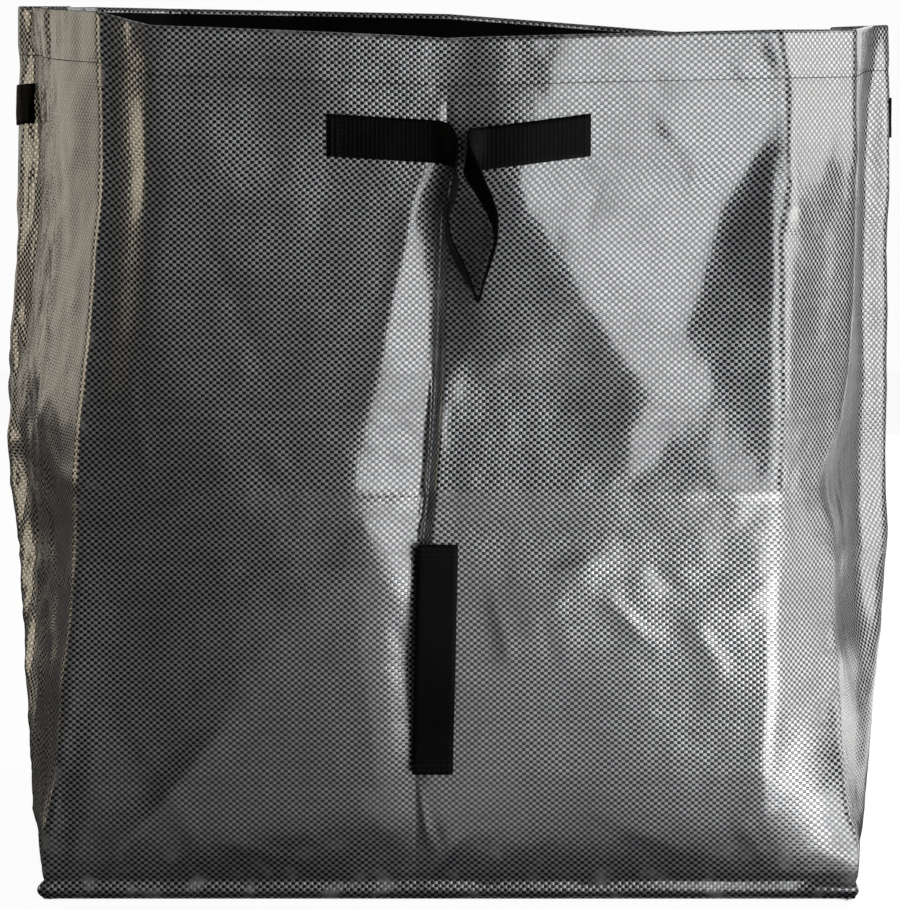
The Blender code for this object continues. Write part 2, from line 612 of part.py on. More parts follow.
def add_grip(parts, surface, material):
    """Upright strap beside the centre valley, sewn at both ends, with room for fingers behind."""
    along, out = side_frame(0)
    up = Vector((0, 0, 1))
    lie = SEAT_GAP + STRAP_THICKNESS / 2
    steps = max(4, round(GRIP_LENGTH / STRAP_STEP))
    low = wall_reach(surface, 0, -0.0095, GRIP_FOOT, STRAP_WIDTH / 2, STRAP_STEP)
    stations = []
    for i in range(steps + 1):
        f = i / steps
        z = GRIP_FOOT + GRIP_LENGTH * f
        at = (-9.5 + 3.1 * f) * MM
        free = min(1.0, max(0.0, (z - GRIP_FOOT - GRIP_SEWN_END) / (GRIP_LENGTH - 2 * GRIP_SEWN_END)))
        reach = wall_reach(surface, 0, at, z, STRAP_WIDTH / 2, STRAP_STEP * 0.6)
        bow = GRIP_BOW * math.sin(math.pi * free)
        stations.append((along * at + out * (max(reach, low) + lie + bow) + up * z, along))
    ribbon(parts, "tipping_grip", stations, STRAP_WIDTH, STRAP_THICKNESS, material)


main()
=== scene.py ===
import math

import bmesh
import bpy
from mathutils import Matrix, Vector, noise
from mathutils.bvhtree import BVHTree
from mathutils.geometry import delaunay_2d_cdt


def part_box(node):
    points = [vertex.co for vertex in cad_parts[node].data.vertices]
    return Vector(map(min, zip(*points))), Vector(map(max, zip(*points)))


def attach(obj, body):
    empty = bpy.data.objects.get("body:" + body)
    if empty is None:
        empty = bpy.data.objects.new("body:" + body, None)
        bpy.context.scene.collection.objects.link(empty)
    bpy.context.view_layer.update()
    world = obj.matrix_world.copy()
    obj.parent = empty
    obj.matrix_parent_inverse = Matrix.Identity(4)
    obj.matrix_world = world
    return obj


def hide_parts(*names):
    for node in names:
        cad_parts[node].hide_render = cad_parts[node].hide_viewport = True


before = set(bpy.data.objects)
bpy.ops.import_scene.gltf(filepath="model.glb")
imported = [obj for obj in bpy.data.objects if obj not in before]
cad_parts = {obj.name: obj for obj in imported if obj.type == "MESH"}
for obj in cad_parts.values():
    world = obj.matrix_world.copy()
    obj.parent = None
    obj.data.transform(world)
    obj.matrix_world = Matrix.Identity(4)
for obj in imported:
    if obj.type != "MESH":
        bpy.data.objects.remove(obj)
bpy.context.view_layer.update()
print("frame loaded")

mm = 0.001
baseLow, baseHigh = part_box("base_panel")
# the cloth is drawn about the middle of its square base
middle = Vector(((baseLow[0] + baseHigh[0]) / 2, (baseLow[1] + baseHigh[1]) / 2, 0))

bag = {
    "half": 0.250,  # half of the square base's side
    "height": 0.540,
    "rounding": 0.005,  # radius over which a crease between two facets is softened
    "hemDepth": 0.029,
    "hemInset": 0.0018,  # how far the turned hem lies inside the wall
}

# creases of the front: runs of (height share, share of the half width, stand-out in mm)
frontNet = [
    [(0.0, -1.0, 0), (0.027, -1.0, 0), (0.11, -0.99, 3), (0.26, -0.97, 7), (0.49, -0.93, 11),
     (0.70, -0.885, 7), (0.85, -0.856, 4.5), (1.06, -0.86, 7)],
    [(0.515, -0.836, 15), (0.70, -0.81, 12), (0.85, -0.795, 8.5), (1.06, -0.788, 12)],
    [(0.515, -0.836, 15), (0.60, -0.79, 19), (0.70, -0.75, 22), (0.85, -0.725, 24), (1.06, -0.725, 22)],
    [(0.515, -0.836, 15), (0.40, -0.848, 12), (0.26, -0.848, 7), (0.11, -0.848, 3), (0.027, -0.848, 0)],
    [(0.487, -0.725, 20), (0.26, -0.725, 11), (0.115, -0.725, 5), (0.027, -0.725, 0)],
    [(0.49, -0.93, 11), (0.515, -0.836, 15), (0.487, -0.725, 20), (0.487, -0.50, 30), (0.487, -0.239, 34.5),
     (0.487, -0.056, 35), (0.487, 0.068, 35), (0.487, 0.40, 34), (0.49, 0.82, 33)],
    [(1.06, -0.002, 20), (0.92, -0.003, 22), (0.863, -0.003, 23), (0.818, -0.020, 24), (0.612, -0.039, 30),
     (0.487, -0.056, 35), (0.43, -0.068, 32), (0.26, -0.0805, 20), (0.152, -0.0805, 12),
     (0.076, -0.0805, 5), (0.027, -0.0805, 0)],
    [(0.92, -0.003, 22), (0.784, -0.085, 26), (0.646, -0.155, 30.5), (0.487, -0.239, 34.5),
     (0.407, -0.215, 32.5), (0.247, -0.178, 23), (0.152, -0.15, 15.5), (0.076, -0.0805, 5.5)],
    [(0.92, -0.003, 22), (0.858, 0.139, 30), (0.818, 0.175, 31), (0.70, 0.34, 32.5), (0.596, 0.48, 33.5)],
    [(0.905, 0.82, 3), (0.83, 0.715, 11), (0.76, 0.65, 18), (0.67, 0.585, 25), (0.596, 0.48, 33.5)],
    [(0.612, -0.039, 30), (0.612, 0.044, 27), (0.60, 0.25, 26.5), (0.596, 0.48, 33.5), (0.60, 0.66, 27.5),
     (0.60, 0.825, 32)],
    [(0.44, 0.09, 31), (0.435, 0.40, 31.5), (0.44, 0.70, 31)],
    [(0.38, 0.12, 28), (0.35, 0.25, 30), (0.36, 0.42, 26), (0.33, 0.58, 22.5), (0.36, 0.72, 26)],
    [(0.27, 0.10, 20), (0.255, 0.30, 18), (0.25, 0.60, 16.5), (0.26, 0.74, 18)],
    [(0.15, 0.20, 12), (0.15, 0.60, 10)],
    [(0.487, -0.239, 34.5), (0.361, -0.36, 28), (0.178, -0.604, 14), (0.115, -0.725, 5), (0.07, -0.83, 4)],
    [(1.06, 0.775, 8), (0.93, 0.836, 3), (0.85, 0.833, 15), (0.76, 0.83, 27), (0.67, 0.83, 31),
     (0.60, 0.825, 32), (0.49, 0.82, 33), (0.40, 0.815, 30), (0.26, 0.81, 19), (0.11, 0.80, 8),
     (0.027, 0.80, 0)],
    [(1.06, -0.86, 7), (1.06, -0.788, 12), (1.06, -0.725, 22), (1.06, -0.40, 22), (1.06, -0.002, 20),
     (1.06, 0.08, 20), (1.06, 0.40, 17), (1.06, 0.775, 8)],
    [(0.0, -1.0, 0), (0.0, 0.0, 0), (0.0, 1.0, 0)],
    [(0.027, -1.0, 0), (0.027, -0.848, 0), (0.027, -0.725, 0), (0.027, -0.0805, 0), (0.027, 0.80, 0),
     (0.027, 1.0, 0)],
]

backNet = [
    [(0.0, -1.0, 0), (0.0, 0.0, 0), (0.0, 1.0, 0)],
    [(0.027, -1.0, 0), (0.027, -0.82, 0), (0.027, 0.0, 0), (0.027, 0.82, 0), (0.027, 1.0, 0)],
    [(0.027, -0.82, 0), (0.11, -0.82, 7), (0.26, -0.82, 15), (0.487, -0.82, 28), (0.85, -0.82, 15),
     (1.06, -0.80, 10)],
    [(0.027, 0.82, 0), (0.11, 0.82, 7), (0.26, 0.82, 15), (0.487, 0.82, 28), (0.85, 0.82, 15),
     (1.06, 0.80, 10)],
    [(0.027, 0.0, 0), (0.11, 0.0, 6), (0.26, 0.0, 14), (0.487, 0.0, 27), (0.85, 0.0, 19), (1.06, 0.0, 16)],
    [(0.11, -0.42, 8), (0.26, -0.42, 18), (0.487, -0.42, 34), (0.85, -0.42, 24), (1.06, -0.42, 19)],
    [(0.11, 0.42, 8), (0.26, 0.42, 18), (0.487, 0.42, 34), (0.85, 0.42, 24), (1.06, 0.42, 19)],
    [(0.487, -0.82, 28), (0.487, -0.42, 34), (0.487, 0.0, 27), (0.487, 0.42, 34), (0.487, 0.82, 28)],
    [(1.06, -0.80, 10), (1.06, -0.42, 19), (1.06, 0.0, 16), (1.06, 0.42, 19), (1.06, 0.80, 10)],
]

# lines of the front that the mesh columns follow: (height share, share of the half width)
leftEdge = [(0.0, -1.0), (0.11, -0.99), (0.26, -0.97), (0.49, -0.93), (0.70, -0.885), (0.85, -0.856),
            (1.06, -0.86)]
leftPanelEdge = [(0.0, -0.725), (1.06, -0.725)]
centreValley = [(0.0, -0.0805), (0.26, -0.0805), (0.43, -0.068), (0.487, -0.056), (0.612, -0.039),
                (0.818, -0.020), (0.863, -0.003), (1.06, -0.002)]
rightEdge = [(0.0, 0.80), (0.11, 0.80), (0.26, 0.81), (0.49, 0.82), (0.67, 0.83), (0.93, 0.836),
             (1.06, 0.775)]
backEdge = 0.82  # the back's own edges, a share of the half width

# upright folds of the side walls: (height share, share of the half depth, stand-out in mm)
folds = {
    "rightTurn": [(0.0, -1.0, 0), (0.027, -1.0, 0), (0.11, -0.98, -2), (0.26, -0.93, -4), (0.42, -0.93, -6),
                  (0.487, -0.985, -17), (0.56, -0.90, -2), (0.70, -0.84, 6), (0.85, -0.82, 7),
                  (1.06, -0.82, 5)],
    "rightFlare": [(0.0, -0.94, 0), (0.027, -0.94, 0), (0.11, -0.86, 6), (0.26, -0.68, 14),
                   (0.487, -0.47, 19), (0.85, -0.38, 22), (1.06, -0.34, 30)],
    "rightRidge": [(0.0, -0.80, 0), (0.027, -0.80, 0), (0.11, -0.72, 16), (0.26, -0.56, 31),
                   (0.37, -0.43, 41), (0.487, -0.37, 41), (0.70, -0.31, 41), (0.85, -0.29, 42),
                   (1.06, -0.24, 39)],
    "rightMiddle": [(0.0, 0.0, 0), (0.027, 0.0, 0), (0.11, 0.0, 12), (0.26, 0.0, 20), (0.487, 0.0, 22),
                    (0.70, 0.0, 10), (0.85, 0.0, 5), (1.06, 0.0, 10)],
    "leftTurn": [(0.0, -0.94, 0), (0.027, -0.94, 0), (0.11, -0.90, 4), (0.26, -0.80, 8),
                 (0.487, -0.74, 10), (0.85, -0.72, 0), (1.06, -0.72, 0)],
    "leftFlare": [(0.0, -0.90, 0), (0.027, -0.90, 0), (0.11, -0.82, 8), (0.26, -0.62, 19),
                  (0.487, -0.45, 29), (0.85, -0.38, 18), (1.06, -0.36, 22)],
    "leftRidge": [(0.0, -0.80, 0), (0.027, -0.80, 0), (0.11, -0.72, 14), (0.26, -0.55, 28),
                  (0.487, -0.38, 43), (0.70, -0.31, 38), (0.85, -0.29, 35), (1.06, -0.24, 33)],
    "leftMiddle": [(0.0, 0.0, 0), (0.027, 0.0, 0), (0.11, 0.0, 11), (0.26, 0.0, 19), (0.487, 0.0, 19),
                   (0.70, 0.0, 7), (0.85, 0.0, 2), (1.06, 0.0, 6)],
    "backTurn": [(0.0, 1.0, 0), (0.027, 1.0, 0), (0.11, 0.98, -1), (0.26, 0.92, -1), (0.487, 0.86, 3),
                 (0.85, 0.82, 6), (1.06, 0.82, 5)],
}
# how far each side bulges beyond its folds: (height share, mm)
bulge = {
    "left": [(0.0, 4.6), (0.022, 4.8), (0.045, 6.4), (0.085, 6.0), (0.10, 3.8), (0.14, 0.6), (0.18, -0.7),
             (0.25, -1.4), (0.30, -4.2), (0.36, -6.0), (0.41, -7.0), (0.457, -5.0), (0.50, -2.6),
             (0.55, -1.4), (0.66, -3.2), (0.80, -3.8), (0.92, -2.8), (1.03, -1.4)],
    "right": [(0.0, 5.6), (0.022, 6.8), (0.062, 8.8), (0.08, 7.2), (0.10, 4.2), (0.14, 1.9), (0.18, 0.0),
              (0.27, -0.7), (0.315, -2.6), (0.36, -3.6), (0.41, -2.2), (0.50, -2.6), (0.60, -2.0),
              (0.80, -1.8), (1.0, -0.7)],
    "power": 8,  # a higher power keeps the bulge nearer to the sides
}
# rise of the rim in mm where each run of mesh columns starts, from the middle of the back on by the left
rimRise = [4, 8, 10, 12, 14, 15, 15, 15, 15, 7, -1, 4, 3, 3, 3, 0, -4, -8, -12, 4]


def cubic(f, start, end, startWay, endWay):
    leaving = (2 * f ** 3 - 3 * f ** 2 + 1) * start + (f ** 3 - 2 * f ** 2 + f) * startWay
    return leaving + (3 * f ** 2 - 2 * f ** 3) * end + (f ** 3 - f ** 2) * endWay


def track(stations, height, column):
    # the value at a height, on a smooth curve through the stations that doesn't overshoot
    heights = [station[0] for station in stations]
    values = [station[column] for station in stations]
    if height <= heights[0]:
        return values[0]
    if height >= heights[-1]:
        return values[-1]
    slopes = []
    for i in range(len(values) - 1):
        slopes.append((values[i + 1] - values[i]) / (heights[i + 1] - heights[i]))
    tangents = [slopes[0]]
    for before, after in zip(slopes, slopes[1:]):
        tangents.append(2 * before * after / (before + after) if before * after > 0 else 0.0)
    tangents.append(slopes[-1])
    i = max(k for k in range(len(heights) - 1) if heights[k] <= height)
    span = heights[i + 1] - heights[i]
    f = (height - heights[i]) / span
    return cubic(f, values[i], values[i + 1], span * tangents[i], span * tangents[i + 1])


def facetSheet(net):
    # flat facets between the creases of a net, to be read with rays
    places = []
    outs = []
    lines = []
    for crease in net:
        run = []
        for height, share, out in crease:
            place = (round(share * bag["half"], 6), round(height * bag["height"], 6))
            if place not in places:
                places.append(place)
                outs.append(out * mm)
            run.append(places.index(place))
        lines += list(zip(run, run[1:]))
    points, _, faces, origins, _, _ = delaunay_2d_cdt([Vector(p) for p in places], lines, [], 0, 1e-6)
    raised = [Vector((p.x, p.y, outs[o[0]])) for p, o in zip(points, origins)]
    return BVHTree.FromPolygons(raised, faces)


frontSheet = facetSheet(frontNet)
backSheet = facetSheet(backNet)

# the upright valley pressed into the front, as stations of (height share, value in mm); rightShare is
# the part of its depth that is left to the right of its line, and slot a narrow fold within it
valley = {
    "line": [(0.0, -20.1), (0.26, -20.1), (0.43, -17.0), (0.487, -14.0), (0.612, -9.8), (0.818, -5.0),
             (0.863, -0.8), (1.06, -0.5)],
    "leftWidth": [(0.0, 8), (0.10, 15), (0.26, 19), (0.40, 25), (0.487, 47), (0.66, 31), (0.80, 17),
                  (0.92, 4), (1.06, 3)],
    "rightWidth": [(0.0, 6), (0.10, 8), (0.26, 5), (0.487, 5), (0.60, 8), (0.68, 30), (0.80, 24),
                   (0.92, 6), (1.06, 4)],
    "depth": [(0.0, 0), (0.03, 0.5), (0.10, 2.4), (0.26, 3.2), (0.40, 5.4), (0.487, 10.5), (0.66, 7.0),
              (0.80, 4.0), (0.92, 0.8), (0.95, 0.0), (1.06, 0)],
    "rightShare": [(0.0, 1), (0.27, 1), (0.36, 0.3), (0.58, 0.3), (0.68, 1), (1.06, 1)],
    "slot": [(0.0, 0), (0.27, 0), (0.34, 5), (0.45, 10), (0.60, 10), (0.72, 7), (0.80, 4), (0.87, 0),
             (1.06, 0)],
    "slotAway": 0.0024,  # from the valley's line
    "slotHalf": 0.0032,
    "power": 1.4,  # 1 gives flat sides, more makes them hollow
}
# the packing fold round the middle, a low sharp ridge
middleFold = {
    "line": 0.4875,
    "above": 0.013,
    "below": 0.009,
    "height": 0.0013,
}


def valleyDepth(x, z):
    height = z / bag["height"]
    depth = track(valley["depth"], height, 1) * mm
    if depth <= 0:
        return 0.0
    away = x - track(valley["line"], height, 1) * mm
    width = track(valley["leftWidth" if away < 0 else "rightWidth"], height, 1) * mm
    t = min(1.0, abs(away) / width)
    slotShare = max(0.0, 1 - abs(away - valley["slotAway"]) / valley["slotHalf"])
    if away > 0:
        depth *= track(valley["rightShare"], height, 1)
    return depth * (1 - t) ** valley["power"] + track(valley["slot"], height, 1) * mm * slotShare


def middleRidge(z):
    away = z - middleFold["line"] * bag["height"]
    width = middleFold["above"] if away > 0 else middleFold["below"]
    return middleFold["height"] * max(0.0, 1 - abs(away) / width) ** 2


def standOut(sheet, x, z):
    # the mean over two rings of rays, so that a crease comes out rounded
    total = 0.0
    hits = 0
    for ring, turn in ((0, 0), (1, 0), (1, 2), (1, 4), (1, 6), (2, 1), (2, 3), (2, 5), (2, 7)):
        angle = turn * math.pi / 4
        reach = ring * bag["rounding"]
        spot = Vector((x + reach * math.cos(angle), z + reach * math.sin(angle), 1.0))
        hit = sheet.ray_cast(spot, Vector((0, 0, -1)))[0]
        if hit is not None:
            total += hit.z
            hits += 1
    return total / hits if hits else 0.0


def panelPoint(sheet, facing, share, z):
    x = share * bag["half"]
    out = standOut(sheet, x, z) + middleRidge(z)
    if facing < 0:
        out -= valleyDepth(x, z)
    return Vector((x, facing * (bag["half"] + out)))


def sidePoint(name, facing, height, flip=1):
    along = flip * track(folds[name], height, 1) * bag["half"]
    return Vector((facing * (bag["half"] + track(folds[name], height, 2) * mm), along))


def sideWall(knots, sharp, counts):
    # a curve through the folds of one side, with a corner at each sharp one
    points = []
    for i, count in enumerate(counts):
        a, b = knots[i], knots[i + 1]
        chord = (b - a).length
        before = (b - a).normalized() if sharp[i] else (b - knots[i - 1]).normalized()
        after = (b - a).normalized() if sharp[i + 1] else (knots[i + 2] - a).normalized()
        for k in range(count):
            points.append(cubic(k / count, a, b, chord * before, chord * after))
    return points


# mesh columns of each run; a power above 1 packs those of the front towards a run's start, or its end
# where the flip beside it is 1
panelCounts = [14, 60, 90]
panelSpread = [(1.0, 0), (1.25, 1), (1.35, 0)]
sideCounts = [14, 26, 9, 20, 18, 26, 8]
backCounts = [36, 36]
allCounts = backCounts[1:] + sideCounts[::-1] + panelCounts + sideCounts + backCounts[:1]


def section(height):
    # one level loop of the wall, anticlockwise from the middle of the back
    z = height * bag["height"]
    front = []
    edges = [leftEdge, leftPanelEdge, centreValley, rightEdge]
    for left, right, count, (power, flip) in zip(edges, edges[1:], panelCounts, panelSpread):
        start, end = track(left, height, 1), track(right, height, 1)
        for i in range(count):
            f = 1 - (1 - i / count) ** power if flip else (i / count) ** power
            front.append(panelPoint(frontSheet, -1, start + (end - start) * f, z))
    leftFront = front[0]
    rightFront = panelPoint(frontSheet, -1, track(rightEdge, height, 1), z)
    backRight = panelPoint(backSheet, 1, backEdge, z)
    backLeft = panelPoint(backSheet, 1, -backEdge, z)
    rightKnots = [rightFront, sidePoint("rightTurn", 1, height), sidePoint("rightFlare", 1, height),
                  sidePoint("rightRidge", 1, height), sidePoint("rightMiddle", 1, height),
                  sidePoint("rightRidge", 1, height, -1), sidePoint("backTurn", 1, height), backRight]
    leftKnots = [backLeft, sidePoint("backTurn", -1, height), sidePoint("leftRidge", -1, height, -1),
                 sidePoint("leftMiddle", -1, height), sidePoint("leftRidge", -1, height),
                 sidePoint("leftFlare", -1, height), sidePoint("leftTurn", -1, height), leftFront]
    ring = []
    for i in range(backCounts[1]):
        ring.append(panelPoint(backSheet, 1, -backEdge * i / backCounts[1], z))
    ring += sideWall(leftKnots, [1, 1, 0, 1, 0, 0, 0, 1], sideCounts[::-1])
    ring += front
    ring += sideWall(rightKnots, [1, 1, 0, 0, 1, 0, 1, 1], sideCounts)
    for i in range(backCounts[0]):
        ring.append(panelPoint(backSheet, 1, backEdge - backEdge * i / backCounts[0], z))
    count = len(ring)
    left = track(bulge["left"], height, 1) * mm
    right = track(bulge["right"], height, 1) * mm
    for point in ring:
        share = min(1.0, abs(point.x) / bag["half"]) ** bulge["power"]
        point.x += share * (right if point.x > 0 else -left)
    return [(ring[i - 1] + 2 * ring[i] + ring[(i + 1) % count]) / 4 for i in range(count)]


def riseAt(column):
    starts = [0]
    for count in allCounts:
        starts.append(starts[-1] + count)
    i = max(k for k in range(len(starts) - 1) if starts[k] <= column)
    f = (column - starts[i]) / (starts[i + 1] - starts[i])
    return (rimRise[i] + (rimRise[i + 1] - rimRise[i]) * f) * mm


columnRise = [riseAt(i) for i in range(sum(allCounts))]

wrinkles = {
    "broad": 0.0011,
    "broadScale": 15,
    "small": 0.00028,
    "smallScale": 75,
    "crumpleLeft": 0.0051,
    "crumpleRight": 0.00102,
    "crumpleLevel": 0.3,  # about the crumples' mean, so that they move the cloth as much in as out
    "leftFrom": (-0.262, -0.214),  # x over which the crumples of the left side fade out
    "rightFrom": (0.215, 0.245),
    "seamGroove": 0.00045,
    "seamWidth": 0.0045,
    "footGroove": 0.0010,
    "footWidth": 0.004,
    "footLine": 0.0115,
    "footWave": 0.0018,
}

# small pressed lines of the front: (x, z, x, z, width, height) in mm; a negative height is a groove
creases = [
    (-212, 20, -140, 112, 18, 2.2), (-8, 495, -60, 262, 12, 0.7),
    (-193, 552, -192, 522, 6, 0.9), (-178, 543, -175, 520, 5, -0.7), (-183, 520, -181, 503, 5, 0.8),
    (-170, 519, -173, 505, 5, -0.7), (-162, 532, -159, 518, 5, 0.6), (-184, 498, -186, 425, 6, 0.7),
    (-176, 470, -180, 410, 5, -0.6), (-196, 330, -183, 262, 7, 1.3), (-187, 352, -190, 300, 6, -0.9),
    (126, 495, 152, 462, 14, 1.0), (152, 462, 148, 438, 12, 0.8), (120, 520, 134, 498, 12, -0.8),
    (187, 530, 201, 512, 7, -0.9), (196, 535, 208, 517, 7, 0.9), (176, 522, 190, 500, 9, 0.9),
    (60, 430, 110, 398, 16, 0.8), (92, 452, 84, 420, 14, -0.7),
    (26, 200, 42, 148, 12, 1.6), (58, 188, 66, 150, 12, -1.3), (98, 196, 122, 170, 12, 1.5),
    (126, 214, 148, 196, 10, -1.2), (150, 180, 170, 150, 12, 1.0), (70, 214, 100, 222, 12, 0.9),
    (-20, 84, -11, 36, 5, 1.4), (6, 42, -6, 16, 8, 1.5), (-12, 60, -2, 30, 7, -1.2),
    (-140, 40, -95, 24, 9, 0.8), (90, 60, 150, 30, 12, 0.9), (180, 58, 200, 20, 9, 1.3),
    (-200, 120, -150, 20, 14, 1.0), (-120, 300, -90, 262, 12, 0.8), (-150, 420, -110, 330, 16, -0.8),
    (-60, 262, -8, 266, 5, 0.9), (205, 262, 214, 200, 6, 0.9), (-150, 262, -190, 240, 9, 1.0),
]
creaseReach = (0.05, 0.07)  # the furthest a crease goes from its own middle, in x and z


def creaseOut(x, z):
    total = 0.0
    for x1, z1, x2, z2, width, height in creases:
        width *= mm
        if abs(x - (x1 + x2) / 2 * mm) > creaseReach[0] or abs(z - (z1 + z2) / 2 * mm) > creaseReach[1]:
            continue
        start = Vector((x1 * mm, z1 * mm))
        way = Vector((x2 * mm, z2 * mm)) - start
        away = Vector((x, z)) - start
        f = min(1.0, max(0.0, away.dot(way) / way.length_squared))
        far = (away - way * f).length
        if far < width:
            total += height * mm * (1 - far / width) ** 2 * (0.35 + 0.65 * math.sin(math.pi * f))
    return total


def easeStep(value, low, high):
    t = min(1.0, max(0.0, (value - low) / (high - low)))
    return t * t * (3 - 2 * t)


def wrinkle(x, y, z):
    # how far the cloth stands out of its large folds
    place = Vector((x, y, z))
    broad = noise.noise(place * wrinkles["broadScale"] + Vector((3.1, 0, 1.7)))
    broad += 0.6 * noise.noise(place * 31)
    finer = place * wrinkles["smallScale"]
    small = noise.noise(finer) + 0.5 * noise.noise(finer * 2)
    out = wrinkles["broad"] * broad + wrinkles["small"] * small
    onLeft = 1 - easeStep(x, *wrinkles["leftFrom"])
    onRight = easeStep(x, *wrinkles["rightFrom"])
    drape = Vector((x * 40, y * 55, z * 14))  # long upright crumples
    folded = abs(noise.noise(drape)) + 0.5 * abs(noise.noise(drape * 2.1))
    crumple = wrinkles["crumpleLeft"] * onLeft + wrinkles["crumpleRight"] * onRight
    out += crumple * (wrinkles["crumpleLevel"] - folded)
    seam = bag["height"] - bag["hemDepth"]
    out -= wrinkles["seamGroove"] * max(0.0, 1 - abs(z - seam) / wrinkles["seamWidth"])
    if y < -0.2:
        out += creaseOut(x, z)
    foot = wrinkles["footLine"] + wrinkles["footWave"] * noise.noise(Vector((x * 25, y * 25, 4.0)))
    groove = wrinkles["footGroove"] * max(0.0, 1 - abs(z - foot) / wrinkles["footWidth"])
    return out * easeStep(z, 0.0, 0.03) - groove


def ringAt(height, inset=0.0):
    # the wrinkled loop at a height, set inwards square to the cloth
    points = section(height)
    count = len(points)
    ring = []
    for i, point in enumerate(points):
        before = (point - points[i - 1]).normalized()
        after = (points[(i + 1) % count] - point).normalized()
        outward = Vector((before.y + after.y, -before.x - after.x)).normalized()
        mitre = 1 / max(0.6, outward.dot(Vector((after.y, -after.x))))
        z = height * bag["height"]
        place = point + outward * (wrinkle(point.x, point.y, z) - inset * mitre)
        ring.append(Vector((place.x, place.y, z + columnRise[i] * height ** 3)) + middle)
    return ring


def newPiece(name, shape, material):
    mesh = bpy.data.meshes.new(name)
    shape.to_mesh(mesh)
    shape.free()
    mesh.materials.append(material)
    mesh.shade_smooth()
    piece = bpy.data.objects.new(name, mesh)
    bpy.context.scene.collection.objects.link(piece)
    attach(piece, "root")
    return piece


def bendAt(before, point, after):
    first, second = point - before, after - point
    if first.length < 1e-7 or second.length < 1e-7:
        return 0.0
    return first.angle(second)


# bends in radians, and heights over the floor, between which the cloth turns rubbed
wearRange = {
    "around": (0.18, 0.8),
    "upward": (0.10, 0.5),
    "foot": (0.006, 0.050),
    "share": 0.8,
}


def wearAt(rings, row, column):
    # sharply bent cloth is rubbed paler, and so is the foot
    columns = len(rings[0])
    point = rings[row][column]
    around = bendAt(rings[row][column - 2], point, rings[row][(column + 2) % columns])
    low, high = max(0, row - 1), min(len(rings) - 1, row + 1)
    upward = bendAt(rings[low][column], point, rings[high][column]) if low < row < high else 0.0
    rubbed = easeStep(around, *wearRange["around"]) + easeStep(upward, *wearRange["upward"])
    rubbed += 1 - easeStep(point.z, *wearRange["foot"])
    return min(1.0, wearRange["share"] * rubbed)


def tubeMesh(rings, climbs):
    # a tube through the rings; its map runs round them from the valley and up by the climbs, in metres
    columns = len(rings[0])
    rows = len(rings)
    shape = bmesh.new()
    clothMap = shape.loops.layers.uv.new("cloth")
    wearLayer = shape.verts.layers.float.new("wear")
    bmesh.ops.create_grid(shape, x_segments=columns, y_segments=rows - 1, size=1.0)
    shape.verts.ensure_lookup_table()
    arcs = []
    for ring in rings:
        total = [0.0]
        for i in range(columns):
            total.append(total[-1] + (ring[(i + 1) % columns] - ring[i]).length)
        valleyArc = total[sum(allCounts[:10])]
        arcs.append([value - valleyArc for value in total])
    for row in range(rows):
        for column in range(columns + 1):
            vertex = shape.verts[row * (columns + 1) + column]
            vertex.co = rings[row][column % columns]
            vertex[wearLayer] = wearAt(rings, row, column % columns)
    shape.verts.index_update()
    for face in shape.faces:
        for loop in face.loops:
            row, column = divmod(loop.vert.index, columns + 1)
            loop[clothMap].uv = (arcs[row][column], climbs[row])
    bmesh.ops.remove_doubles(shape, verts=list(shape.verts), dist=0.00001)
    bmesh.ops.recalc_face_normals(shape, faces=list(shape.faces))
    return shape


def newMaterial(name, values):
    material = bpy.data.materials.new(name)
    material.use_nodes = True
    shader = material.node_tree.nodes["Principled BSDF"]
    for socket, value in values.items():
        shader.inputs[socket].default_value = value
    return material, material.node_tree, shader


def fill(tree, node, values):
    # another node's output is linked, a plain value is set
    for socket, value in values.items():
        if isinstance(value, bpy.types.NodeSocket):
            tree.links.new(value, node.inputs[socket])
        else:
            node.inputs[socket].default_value = value


def mathNode(tree, operation, *values):
    node = tree.nodes.new("ShaderNodeMath")
    node.operation = operation
    fill(tree, node, dict(enumerate(values)))
    return node.outputs[0]


def clothNoise(tree, place, scale, detail):
    node = tree.nodes.new("ShaderNodeTexNoise")
    fill(tree, node, {"Vector": place, "Scale": scale, "Detail": detail})
    return node.outputs["Fac"]


def smoothRange(tree, value, low, high):
    node = tree.nodes.new("ShaderNodeMapRange")
    node.interpolation_type = "SMOOTHSTEP"
    fill(tree, node, {"Value": value, "From Min": low, "From Max": high})
    return node.outputs["Result"]


def mixColour(tree, share, first, second):
    node = tree.nodes.new("ShaderNodeMix")
    node.data_type = "RGBA"
    fill(tree, node, {0: share, 6: first, 7: second})
    return node.outputs[2]


def bumpNormal(tree, height, strength, distance):
    node = tree.nodes.new("ShaderNodeBump")
    fill(tree, node, {"Height": height, "Strength": strength, "Distance": distance})
    return node.outputs["Normal"]


def clothPlace(tree):
    uv = tree.nodes.new("ShaderNodeUVMap")
    uv.uv_map = "cloth"
    split = tree.nodes.new("ShaderNodeSeparateXYZ")
    fill(tree, split, {0: uv.outputs["UV"]})
    return uv.outputs["UV"], split.outputs["X"], split.outputs["Y"]


def fromMiddle(tree, cells):
    # 0 in the middle of a cell, 1 at its border
    doubled = mathNode(tree, "MULTIPLY_ADD", mathNode(tree, "FRACT", cells), 2.0, -1.0)
    return mathNode(tree, "ABSOLUTE", doubled)


